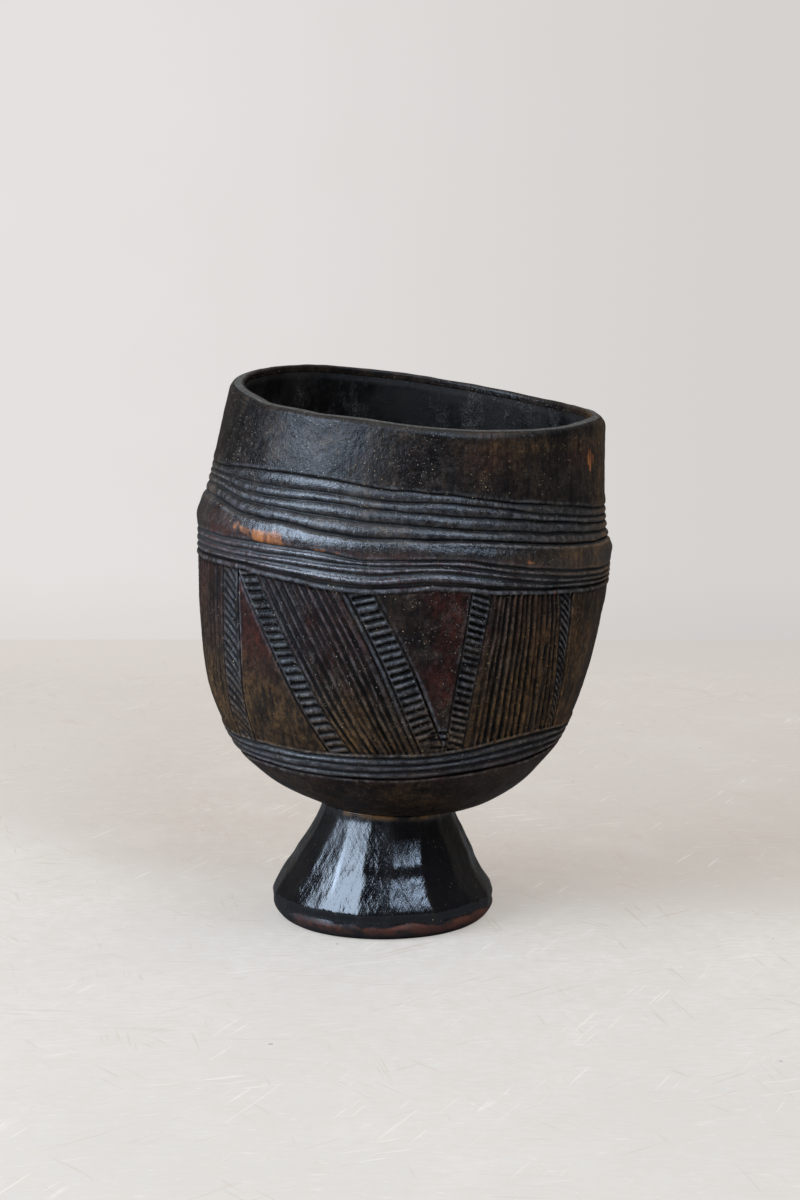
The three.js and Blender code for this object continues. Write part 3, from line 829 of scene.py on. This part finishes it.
def node(tree, kind, inputs=None, **settings):
    """Adds a node, sets its settings, and links or sets its inputs. A value that is a socket is linked."""
    made = tree.nodes.new(kind)
    for key, value in settings.items():
        setattr(made, key, value)
    for key, value in (inputs or {}).items():
        socket = made.inputs[key]
        if isinstance(value, bpy.types.NodeSocket):
            tree.links.new(value, socket)
        else:
            socket.default_value = value
    return made


def maths(tree, operation, a, b=0.0, c=0.0, clamp=False):
    """One Math node's value."""
    return node(tree, "ShaderNodeMath", {0: a, 1: b, 2: c}, operation=operation, use_clamp=clamp).outputs[0]


def fitted(tree, value, low, high, to_low=0.0, to_high=1.0):
    """A value carried smoothly from one range to another, held at its ends."""
    inputs = {"Value": value, "From Min": low, "From Max": high, "To Min": to_low, "To Max": to_high}
    return node(tree, "ShaderNodeMapRange", inputs, interpolation_type="SMOOTHSTEP").outputs["Result"]


def times(tree, *values):
    """The product of several values."""
    result = values[0]
    for value in values[1:]:
        result = maths(tree, "MULTIPLY", result, value)
    return result


def plus(tree, *values):
    """The sum of several values."""
    result = values[0]
    for value in values[1:]:
        result = maths(tree, "ADD", result, value)
    return result


def blend(tree, share, low, high):
    """A colour mix by a share."""
    made = node(tree, "ShaderNodeMix", data_type="RGBA")
    for socket, value in ((made.inputs[0], share), (made.inputs[6], low), (made.inputs[7], high)):
        if isinstance(value, bpy.types.NodeSocket):
            tree.links.new(value, socket)
        else:
            socket.default_value = value
    return made.outputs[2]


def rgb(red, green, blue):
    return (red, green, blue, 1.0)


def over(tree, colour, upper, *shares):
    """A colour laid over another by the product of some masks and numbers."""
    return blend(tree, times(tree, *shares), colour, upper)


def noise(tree, vector, scale, detail=3.0, roughness=0.55, stretch=None, lean=0.0):
    """Noise from 0 to 1 on the given coordinates, stretched along any axis and leaning in the XZ plane."""
    if stretch:
        if lean:
            vector = node(tree, "ShaderNodeVectorRotate", {"Vector": vector, "Angle": np.radians(lean)},
                          rotation_type="Y_AXIS").outputs[0]
        vector = node(tree, "ShaderNodeMapping", {"Vector": vector, "Scale": stretch}).outputs[0]
    made = node(tree, "ShaderNodeTexNoise", {"Vector": vector, "Scale": scale, "Detail": detail,
                                             "Roughness": roughness})
    return made.outputs[0]


def bumped(tree, *layers):
    """Bumps laid one over another. A layer is its height, its strength and its distance in metres."""
    inputs = {}
    for height, strength, distance in layers:
        inputs.update(Height=height, Strength=strength, Distance=distance)
        inputs["Normal"] = node(tree, "ShaderNodeBump", inputs).outputs[0]
    return inputs["Normal"]


def group(name, inputs, outputs, build):
    """A shader node group. build gets the tree and its input sockets, and returns its output values."""
    tree = bpy.data.node_groups.new(name, "ShaderNodeTree")
    for key, (kind, value) in inputs.items():
        socket = tree.interface.new_socket(key, in_out="INPUT", socket_type=kind)
        if value is not None:
            socket.default_value = value
    for key, kind in outputs.items():
        tree.interface.new_socket(key, in_out="OUTPUT", socket_type=kind)
    entry = tree.nodes.new("NodeGroupInput")
    leave = tree.nodes.new("NodeGroupOutput")
    results = build(tree, entry.outputs)
    for key, value in results.items():
        tree.links.new(value, leave.inputs[key])
    return tree


def use(tree, made, inputs):
    """Places a group in a material with its own values."""
    placed = tree.nodes.new("ShaderNodeGroup")
    placed.node_tree = made
    for key, value in inputs.items():
        if isinstance(value, bpy.types.NodeSocket):
            tree.links.new(value, placed.inputs[key])
        else:
            placed.inputs[key].default_value = value
    return placed.outputs


VECTOR, FLOAT = "NodeSocketVector", "NodeSocketFloat"


def grain_inside(tree, given):
    """Upright wood fibres: noise drawn out along Z, with fine pores, fine grit and two slow mottles."""
    vector = given["Vector"]
    fibres = noise(tree, vector, 620, 4, 0.62, (1, 1, 0.11))
    coarse = noise(tree, vector, 150, 3, 0.55, (1, 1, 0.14))
    grit = noise(tree, vector, 760, 3, 0.72, (1, 1, 0.7))
    mottle = noise(tree, vector, 62, 6, 0.66)
    slow = noise(tree, vector, 33, 4, 0.6)
    streak = plus(tree, times(tree, fibres, 0.65), times(tree, coarse, 0.35))
    fine = noise(tree, vector, 2100, 2, 0.6)
    height = plus(tree, times(tree, streak, 0.35), times(tree, grit, 0.45), times(tree, fine, 0.3))
    return {"Streak": fitted(tree, streak, 0.38, 0.62), "Grit": fitted(tree, grit, 0.34, 0.66),
            "Fine": fitted(tree, fine, 0.38, 0.68), "Mottle": fitted(tree, mottle, 0.36, 0.64),
            "Slow": fitted(tree, slow, 0.38, 0.62), "Height": height}


def dust_inside(tree, given):
    """Specks: a spot round each cell's point where the cell drew a high number and a slow noise allows it.

    Flecks are the tops of a fine noise, and film is a soft one.
    """
    vector, amount = given["Vector"], given["Amount"]
    allowed = times(tree, amount, fitted(tree, noise(tree, vector, 85, 4, 0.65), 0.4, 0.62, 0.25, 1.6))
    specks = []
    for cells_per_metre, size, share in ((1350, 0.15, 0.05), (2100, 0.24, 0.12)):
        cell = node(tree, "ShaderNodeTexVoronoi", {"Vector": vector, "Scale": cells_per_metre,
                                                   "Randomness": 1.0})
        drawn = node(tree, "ShaderNodeSeparateColor", {"Color": cell.outputs["Color"]}).outputs
        chosen = maths(tree, "LESS_THAN", drawn[0], times(tree, allowed, share))
        reach = times(tree, plus(tree, drawn[1], 0.35), size)
        specks.append(times(tree, chosen, maths(tree, "LESS_THAN", cell.outputs["Distance"], reach)))
    fine = plus(tree, noise(tree, vector, 2300, 1, 0.5), times(tree, allowed, 0.05))
    film = fitted(tree, noise(tree, vector, 190, 6, 0.7), 0.46, 0.75)
    return {"Specks": specks[0], "Small": specks[1], "Flecks": fitted(tree, fine, 0.58, 0.68),
            "Film": times(tree, film, amount)}


def wear_and_sheen_inside(tree, given):
    """Worn crests with painted highlight: crest mask broken by noise; patch mask, torn by it along the
    fibres.
    """
    broken = noise(tree, given["Vector"], 330, 5, 0.7, (1, 1, 0.45))
    edge = maths(tree, "MULTIPLY", given["Crest"], fitted(tree, broken, 0.32, 0.60), clamp=True)
    patch = plus(tree, given["Patch"], times(tree, maths(tree, "SUBTRACT", broken, 0.5), 1.9))
    torn = times(tree, fitted(tree, patch, 0.42, 0.66), maths(tree, "GREATER_THAN", given["Patch"], 0.04))
    return {"Edge": edge, "Patch": torn}


GRAIN_OUTPUTS = ("Streak", "Grit", "Fine", "Mottle", "Slow", "Height")
GRAIN = group("wood_grain", {"Vector": (VECTOR, None)}, dict.fromkeys(GRAIN_OUTPUTS, FLOAT), grain_inside)
DUST = group("dust", {"Vector": (VECTOR, None), "Amount": (FLOAT, 0.5)},
             dict.fromkeys(("Specks", "Small", "Flecks", "Film"), FLOAT), dust_inside)
WEAR_AND_SHEEN = group("edge_wear_and_sheen", {"Vector": (VECTOR, None), "Crest": (FLOAT, 0.0), "Patch": (FLOAT, 0.0)},
             dict.fromkeys(("Edge", "Patch"), FLOAT), wear_and_sheen_inside)


# Materials

def start_material(name, **values):
    """A new material with its Principled shader, whose unchanging values are set on its own sockets."""
    material = bpy.data.materials.new(name)
    material.use_nodes = True
    tree = material.node_tree
    shader = tree.nodes["Principled BSDF"]
    for key, value in values.items():
        shader.inputs[key.replace("_", " ")].default_value = value
    coords = tree.nodes.new("ShaderNodeTexCoord").outputs["Object"]
    return material, tree, shader, coords


def mark(tree, name):
    """One of the piece's painted masks."""
    return node(tree, "ShaderNodeAttribute", attribute_name=name).outputs["Fac"]


def dress(tree, shader, colour, rough, normal):
    """Links the worked-out colour, roughness and normal to the shader."""
    for key, value in (("Base Color", colour), ("Roughness", rough), ("Normal", normal)):
        tree.links.new(value, shader.inputs[key])


def carved_wood(name, ior, smooth, matt):
    """The bowl's outside: near-black patina over red and brown wood, worn and painted with highlight at
    edges, dusty in the cuts.

    Its parts differ in how strongly they mirror, by their index of refraction, and in how rough they are.
    """
    material, tree, shader, coords = start_material(name, IOR=ior)
    grain = use(tree, GRAIN, {"Vector": coords})
    dust = use(tree, DUST, {"Vector": coords, "Amount": mark(tree, "dusty")})
    wear_and_sheen = use(tree, WEAR_AND_SHEEN, {"Vector": coords, "Crest": mark(tree, "crest"), "Patch": mark(tree, "worn")})
    sunk, dull, lip, ochre_and_reflection_mark = (mark(tree, key) for key in ("sunk", "dull", "lip", "ochre_and_reflection"))
    streak, grit, mottle, slow = (grain[key] for key in ("Streak", "Grit", "Mottle", "Slow"))

    colour = blend(tree, mottle, rgb(0.0042, 0.0040, 0.0048), rgb(0.0150, 0.0110, 0.0090))
    colour = over(tree, colour, rgb(0.050, 0.028, 0.016), streak, slow, 0.45)
    patchy = fitted(tree, noise(tree, coords, 120, 5, 0.7), 0.48, 0.68)
    colour = over(tree, colour, rgb(0.046, 0.024, 0.017), patchy, 0.35)
    red = (mark(tree, "red"), fitted(tree, mottle, 0, 1, 0.35, 1.0), fitted(tree, streak, 0, 1, 0.55, 1.0))
    colour = over(tree, colour, rgb(0.088, 0.0150, 0.0085), *red)
    ochre_and_reflection = (ochre_and_reflection_mark, fitted(tree, streak, 0, 1, 0.25, 1.0), fitted(tree, mottle, 0, 1, 0.45, 1.0))
    colour = over(tree, colour, rgb(0.134, 0.0660, 0.0220), *ochre_and_reflection)

    # The crests: worn, with a painted highlight, bluish grey and orange-brown where the ochre mask lies.
    edge = blend(tree, ochre_and_reflection_mark, rgb(0.205, 0.212, 0.228), rgb(0.290, 0.155, 0.055))
    colour = over(tree, colour, edge, wear_and_sheen["Edge"], 0.6)
    colour = over(tree, colour, rgb(0.0032, 0.0026, 0.0024), fitted(tree, grit, 0, 1, 0.66, 0.0))
    orange = blend(tree, streak, rgb(0.090, 0.023, 0.007), rgb(0.46, 0.150, 0.030))
    colour = over(tree, colour, orange, wear_and_sheen["Patch"])

    grey_or_golden = blend(tree, slow, rgb(0.16, 0.15, 0.14), rgb(0.21, 0.14, 0.07))
    colour = over(tree, colour, grey_or_golden, grain["Fine"], dust["Film"], 0.5)
    # Painted shade: the sunk parts of the cuts are laid nearly black.
    colour = over(tree, colour, rgb(0.0030, 0.0022, 0.0019), fitted(tree, sunk, 0.08, 0.8, 0, 0.95))
    settled = plus(tree, times(tree, sunk, 0.06), 0.01)
    colour = over(tree, colour, rgb(0.26, 0.18, 0.10), dust["Film"], settled)
    colour = over(tree, colour, rgb(0.22, 0.125, 0.060), dust["Flecks"], dust["Film"], 0.3)
    golden = maths(tree, "ADD", ochre_and_reflection_mark, times(tree, slow, 0.8), clamp=True)
    small = blend(tree, golden, rgb(0.42, 0.40, 0.36), rgb(0.50, 0.33, 0.13))
    colour = over(tree, colour, small, dust["Small"], 0.75)
    large = blend(tree, golden, rgb(0.70, 0.64, 0.50), rgb(0.70, 0.46, 0.16))
    colour = over(tree, colour, large, dust["Specks"], 0.85)
    pale_top = blend(tree, grit, rgb(0.050, 0.046, 0.040), rgb(0.13, 0.12, 0.105))
    colour = over(tree, colour, pale_top, lip, 0.85)

    rough = plus(tree, fitted(tree, slow, 0, 1, smooth, matt), times(tree, sunk, 0.3),
                 fitted(tree, grain["Fine"], 0, 1, -0.05, 0.12), times(tree, dull, 0.22),
                 times(tree, wear_and_sheen["Patch"], 0.1), times(tree, lip, 0.25))
    dress(tree, shader, colour, rough, bumped(tree, (grain["Height"], 0.9, 0.00052)))
    return material


def hollow_wood():
    """The hollow: black and matt, with faint grey wisps and a film of dust."""
    material, tree, shader, coords = start_material("hollow_dark_wood", IOR=1.3)
    grain = use(tree, GRAIN, {"Vector": coords})
    dust = use(tree, DUST, {"Vector": coords, "Amount": 0.35})
    colour = blend(tree, grain["Mottle"], rgb(0.0050, 0.0046, 0.0044), rgb(0.0150, 0.0125, 0.0110))
    wisps = fitted(tree, noise(tree, coords, 95, 7, 0.8, (1, 1, 0.6)), 0.50, 0.66)
    colour = over(tree, colour, rgb(0.105, 0.098, 0.085), wisps, grain["Fine"], 0.9)
    colour = over(tree, colour, rgb(0.2, 0.18, 0.14), dust["Film"], 0.05)
    colour = over(tree, colour, rgb(0.25, 0.23, 0.19), dust["Small"], 0.3)
    rough = fitted(tree, grain["Mottle"], 0, 1, 0.42, 0.7)
    dress(tree, shader, colour, rough, bumped(tree, (wisps, 0.8, 0.0006), (grain["Height"], 0.9, 0.0006)))
    return material


def polished_wood():
    """The foot: black, polished by handling, with fine scratches, and bare red-brown wood under its edge."""
    material, tree, shader, coords = start_material("polished_black_wood", IOR=1.78)
    grain = use(tree, GRAIN, {"Vector": coords})
    dust = use(tree, DUST, {"Vector": coords, "Amount": 0.3})
    wear_and_sheen = use(tree, WEAR_AND_SHEEN, {"Vector": coords, "Crest": mark(tree, "crest"), "Patch": mark(tree, "bare")})
    bare = mark(tree, "bare")
    colour = blend(tree, grain["Mottle"], rgb(0.0034, 0.0034, 0.0048), rgb(0.0080, 0.0070, 0.0076))
    # The facet ridges laid a little lighter brown: rubbed wood and a faint painted highlight.
    colour = over(tree, colour, rgb(0.045, 0.038, 0.030), wear_and_sheen["Edge"], 0.2)
    patchy = fitted(tree, noise(tree, coords, 95, 5, 0.68), 0.40, 0.62)
    brown = blend(tree, patchy, rgb(0.006, 0.0026, 0.0020), rgb(0.130, 0.027, 0.007))
    brown = over(tree, brown, rgb(0.005, 0.003, 0.0025), mark(tree, "low"))
    colour = over(tree, colour, brown, bare, fitted(tree, wear_and_sheen["Patch"], 0, 1, 0.5, 1.0))
    broken = fitted(tree, noise(tree, coords, 130, 3), 0.42, 0.6)
    colour = over(tree, colour, rgb(0.24, 0.12, 0.035), mark(tree, "crease"), broken)
    # Painted highlight: the glint line on the facet ridges laid bluish grey.
    colour = over(tree, colour, rgb(0.42, 0.46, 0.50), mark(tree, "painted_glint"), 0.7)
    colour = over(tree, colour, rgb(0.35, 0.28, 0.18), dust["Small"], 0.4)
    colour = over(tree, colour, rgb(0.55, 0.42, 0.18), dust["Specks"], 0.8)

    smear = noise(tree, coords, 110, 5, 0.72, (1, 1, 0.5))
    rough = plus(tree, fitted(tree, smear, 0.36, 0.64, 0.09, 0.23), times(tree, bare, 0.4),
                 times(tree, mark(tree, "neck"), 0.10), fitted(tree, grain["Fine"], 0, 1, -0.02, 0.07))
    waves = noise(tree, coords, 75, 2, 0.5, (1, 1, 0.6))
    feathers = plus(tree, *(noise(tree, coords, 420, 4, 0.66, (1, 0.4, 0.10), lean) for lean in (32, -26)))
    scratch = noise(tree, coords, 900, 3, 0.6, (1, 0.4, 0.08))
    dress(tree, shader, colour, rough, bumped(tree, (waves, 0.9, 0.0010), (feathers, 1.0, 0.00022),
                                              (scratch, 0.8, 0.00010)))
    return material


# The cup

collar_wood = carved_wood("collar_wood", ior=1.42, smooth=0.23, matt=0.36)
ring_wood = carved_wood("ring_wood", ior=1.66, smooth=0.21, matt=0.33)
roll_wood = carved_wood("roll_wood", ior=1.86, smooth=0.19, matt=0.31)
field_wood = carved_wood("field_wood", ior=1.32, smooth=0.22, matt=0.34)
inner_wood = hollow_wood()
foot_wood = polished_wood()

underside(field_wood)
carved_band("bowl_lower_rings", (LOWER, 3), (LOWER, 0), rows=64, count=900, material=ring_wood)
field_part("bowl_field_front", 0, count=430, rows=165, material=field_wood)
field_part("bowl_field_right", 1, count=400, rows=165, material=field_wood)
field_part("bowl_field_left", 2, count=400, rows=165, material=field_wood)
carved_band("bowl_shoulder", (SHOULDERS, 3), (UPPER, 4), rows=96, count=900, material=roll_wood)
carved_band("bowl_upper_rings", (UPPER, 4), (UPPER, 0), rows=84, count=900, material=ring_wood)
collar(collar_wood)
hollow(inner_wood)
foot(foot_wood)


# Floor, light and camera

# Where the sheet ends and the wall seems to begin, in metres behind the cup
FLOOR_END = 0.522
# Layers over the sheet's colour: a noise's scale, detail, roughness and stretch, the values between which it
# rises from nothing to all, the layer's share, and its colour. They are dark scuffs, cloudy patches, pale
# patches, smudges, fibres, bleached flecks and worn spots.
FLOOR_LAYERS = ((60, 6, 0.75, (1, 0.35, 1), 0.52, 0.74, 0.26, rgb(0.58, 0.52, 0.46)),
                (48, 6, 0.70, None, 0.42, 0.70, 0.30, rgb(0.60, 0.56, 0.51)),
                (26, 4, 0.60, (1, 0.7, 1), 0.50, 0.68, 0.22, rgb(0.82, 0.81, 0.79)),
                (120, 5, 0.70, (0.35, 1, 1), 0.50, 0.68, 0.40, rgb(0.61, 0.575, 0.53)),
                (620, 4, 0.65, (0.3, 1, 1), 0.38, 0.64, 0.42, rgb(0.555, 0.535, 0.50)),
                (480, 3, 0.60, (0.4, 1, 1), 0.60, 0.72, 0.50, rgb(0.84, 0.835, 0.82)),
                (230, 5, 0.70, (1, 0.5, 1), 0.42, 0.66, 0.42, rgb(0.60, 0.565, 0.52)))
SCRATCH_WHITE = rgb(0.90, 0.89, 0.87)
SCRATCH_BROWN = rgb(0.46, 0.38, 0.29)
# Scratches: their turn in degrees, the scales of the noise that draws them and of the one that places them,
# and their colour
SCRATCHES = ((24, 730, 27, SCRATCH_WHITE), (-38, 660, 33, SCRATCH_BROWN), (71, 640, 29, SCRATCH_WHITE),
             (-12, 710, 39, SCRATCH_BROWN), (95, 650, 24, SCRATCH_BROWN), (50, 600, 37, SCRATCH_BROWN))
# The part of the sheet's colour that it gives off by itself for the camera
GIVEN_OFF = 0.58


def sheet_colour_and_shadow(tree, coords):
    """The sheet's colour: pale in front, a dim warm band behind the cup that is a painted shadow, and lighter
    again far back.

    The band starts a little farther back on the left. Over these lie the layers, the scratches, and small
    dark pits; far back the colour turns into the wall's.
    """
    split = node(tree, "ShaderNodeSeparateXYZ", {"Vector": coords})
    x, y = split.outputs[0], split.outputs[1]
    wave = times(tree, maths(tree, "SUBTRACT", noise(tree, coords, 16, 3, 0.5), 0.5), 0.05)
    start = plus(tree, fitted(tree, x, -0.15, -0.02, 0.085, -0.012), wave)
    stain = fitted(tree, noise(tree, coords, 11, 5, 0.6), 0.3, 0.7)
    beside = blend(tree, stain, rgb(0.665, 0.658, 0.638), rgb(0.735, 0.730, 0.712))
    front = blend(tree, stain, rgb(0.575, 0.588, 0.575), rgb(0.640, 0.655, 0.643))
    near = blend(tree, fitted(tree, y, -0.04, -0.22), beside, front)
    # Painted shadow: the dim warm band behind the cup, darkest just behind it.
    band = blend(tree, fitted(tree, x, -0.15, -0.085), rgb(0.59, 0.562, 0.54), rgb(0.495, 0.452, 0.417))
    band = blend(tree, fitted(tree, x, 0.02, 0.11), band, rgb(0.560, 0.535, 0.510))
    back = blend(tree, fitted(tree, y, 0.16, 0.5), band, rgb(0.705, 0.672, 0.650))
    behind = fitted(tree, maths(tree, "SUBTRACT", y, start), -0.02, 0.06)
    colour = blend(tree, behind, near, back)
    for scale, detail, roughness, stretch, low, high, share, upper in FLOOR_LAYERS:
        layer = fitted(tree, noise(tree, coords, scale, detail, roughness, stretch), low, high)
        colour = over(tree, colour, upper, layer, share)
    for turn, fineness, presence, shade in SCRATCHES:
        turned = node(tree, "ShaderNodeVectorRotate", {"Vector": coords, "Angle": np.radians(turn)},
                      rotation_type="Z_AXIS").outputs[0]
        scratch = fitted(tree, noise(tree, turned, fineness, 1, 0.5, (1, 0.045, 1)), 0.645, 0.69)
        somewhere = fitted(tree, noise(tree, turned, presence, 3, 0.6, (1, 0.6, 1)), 0.53, 0.61)
        colour = over(tree, colour, shade, scratch, somewhere, 0.46)
    meeting = blend(tree, fitted(tree, x, -0.19, 0.20), rgb(0.735, 0.700, 0.680), rgb(0.640, 0.622, 0.608))
    colour = over(tree, colour, meeting, fitted(tree, y, 0.36, FLOOR_END))
    cell = node(tree, "ShaderNodeTexVoronoi", {"Vector": coords, "Scale": 70.0, "Randomness": 1.0}).outputs
    drawn = node(tree, "ShaderNodeSeparateColor", {"Color": cell["Color"]}).outputs[0]
    pit = times(tree, maths(tree, "LESS_THAN", cell["Distance"], 0.05), maths(tree, "LESS_THAN", drawn, 0.10))
    return over(tree, colour, rgb(0.22, 0.20, 0.18), pit, 0.85)


def floor():
    """The pale sheet that the cup stands on.

    The camera sees it give off most of its colour by itself, and a warm grey that takes the rest from the
    lamps, so the cup's shadow stays faint. Other rays see a mid grey, and reflections a dark one.
    """
    x0, x1, y0, y1 = -3.0, 3.0, -3.0, FLOOR_END
    mesh = bpy.data.meshes.new("floor")
    mesh.from_pydata([(x0, y0, 0), (x1, y0, 0), (x1, y1, 0), (x0, y1, 0)], [], [(0, 1, 2, 3)])
    material, tree, shader, coords = start_material("pale_floor", Roughness=0.85, Emission_Strength=1.0)
    paths = tree.nodes.new("ShaderNodeLightPath").outputs
    seen = paths["Is Camera Ray"]
    black = rgb(0, 0, 0)
    given_off = blend(tree, GIVEN_OFF, black, sheet_colour_and_shadow(tree, coords))
    unseen = blend(tree, paths["Is Glossy Ray"], rgb(0.34, 0.33, 0.32), rgb(0.12, 0.117, 0.114))
    lit = blend(tree, seen, unseen, rgb(0.336, 0.287, 0.240))
    tree.links.new(lit, shader.inputs["Base Color"])
    tree.links.new(blend(tree, seen, black, given_off), shader.inputs["Emission Color"])
    mesh.materials.append(material)
    made = bpy.data.objects.new("floor", mesh)
    bpy.context.scene.collection.objects.link(made)


def world():
    """Pale surroundings.

    The camera sees the wall's colour, lighter to the left. Polished wood sees a dim room, darker in front of
    the cup than behind it. All else sees a warm light, stronger from the right.
    """
    made = bpy.data.worlds.new("studio")
    made.use_nodes = True
    tree = made.node_tree
    coords = tree.nodes.new("ShaderNodeTexCoord").outputs["Generated"]
    x, y, z = node(tree, "ShaderNodeSeparateXYZ", {"Vector": coords}).outputs
    room = blend(tree, fitted(tree, y, -0.3, 0.9), rgb(0.018, 0.019, 0.022), rgb(0.085, 0.080, 0.072))
    to_right = fitted(tree, x, -0.16, 0.17)
    wall = blend(tree, to_right, rgb(0.785, 0.76, 0.75), rgb(0.665, 0.645, 0.63))
    cloudy = fitted(tree, noise(tree, coords, 9, 4, 0.6), 0.3, 0.7, 0, 0.12)
    wall = over(tree, wall, rgb(0.66, 0.63, 0.60), cloudy)
    low_wall = blend(tree, to_right, rgb(0.735, 0.700, 0.680), rgb(0.625, 0.607, 0.593))
    wall = over(tree, wall, low_wall, fitted(tree, z, -0.162, -0.125, 0.95, 0))
    around = blend(tree, fitted(tree, x, -0.1, 0.8), rgb(0.31, 0.297, 0.280), rgb(0.66, 0.60, 0.53))
    paths = tree.nodes.new("ShaderNodeLightPath").outputs
    light = blend(tree, paths["Is Glossy Ray"], around, room)
    colour = blend(tree, paths["Is Camera Ray"], light, wall)
    tree.links.new(colour, tree.nodes["Background"].inputs["Color"])
    bpy.context.scene.world = made


# What the lamps are aimed at; and the camera's place in metres, how many degrees it looks down, and its lens
AIM = (0.005, 0.0, 0.085)
CAMERA_PLACE = (0.00511, -0.7, 0.1989)
CAMERA_PITCH = 8.272
LENS_MM = 70.14


def lamp(name, azimuth, elevation, distance, width, height, power, colour):
    """A soft rectangular lamp, aimed at the cup from an azimuth counted from the front to the right."""
    a, e = np.radians(azimuth), np.radians(elevation)
    way = Vector((np.sin(a) * np.cos(e), -np.cos(a) * np.cos(e), np.sin(e)))
    data = bpy.data.lights.new(name, "AREA")
    data.shape = "RECTANGLE"
    data.size, data.size_y = width, height
    data.energy = power
    data.color = colour
    made = bpy.data.objects.new(name, data)
    made.location = Vector(AIM) + way * distance
    made.rotation_euler = way.to_track_quat("Z", "Y").to_euler()
    made.visible_camera = False
    bpy.context.scene.collection.objects.link(made)


def camera():
    """The camera in front of the cup, looking a little down."""
    data = bpy.data.cameras.new("camera")
    data.lens = LENS_MM
    data.sensor_width = 36
    data.clip_start = 0.01
    made = bpy.data.objects.new("camera", data)
    made.location = CAMERA_PLACE
    made.rotation_euler = (np.radians(90 - CAMERA_PITCH), 0, 0)
    bpy.context.scene.collection.objects.link(made)
    bpy.context.scene.camera = made


floor()
world()
lamp("window_left", azimuth=-57, elevation=31, distance=0.95, width=0.70, height=0.76, power=12.2,
     colour=(0.64, 0.79, 1.0))
lamp("window_right", azimuth=33, elevation=52, distance=1.0, width=0.32, height=0.52, power=3.8,
     colour=(0.58, 0.75, 1.0))
lamp("sky_above", azimuth=180, elevation=80, distance=1.3, width=1.4, height=1.4, power=4.4,
     colour=(1.0, 0.92, 0.83))
camera()

bpy.context.scene.view_settings.view_transform = "Standard"

bpy.context.view_layer.update()
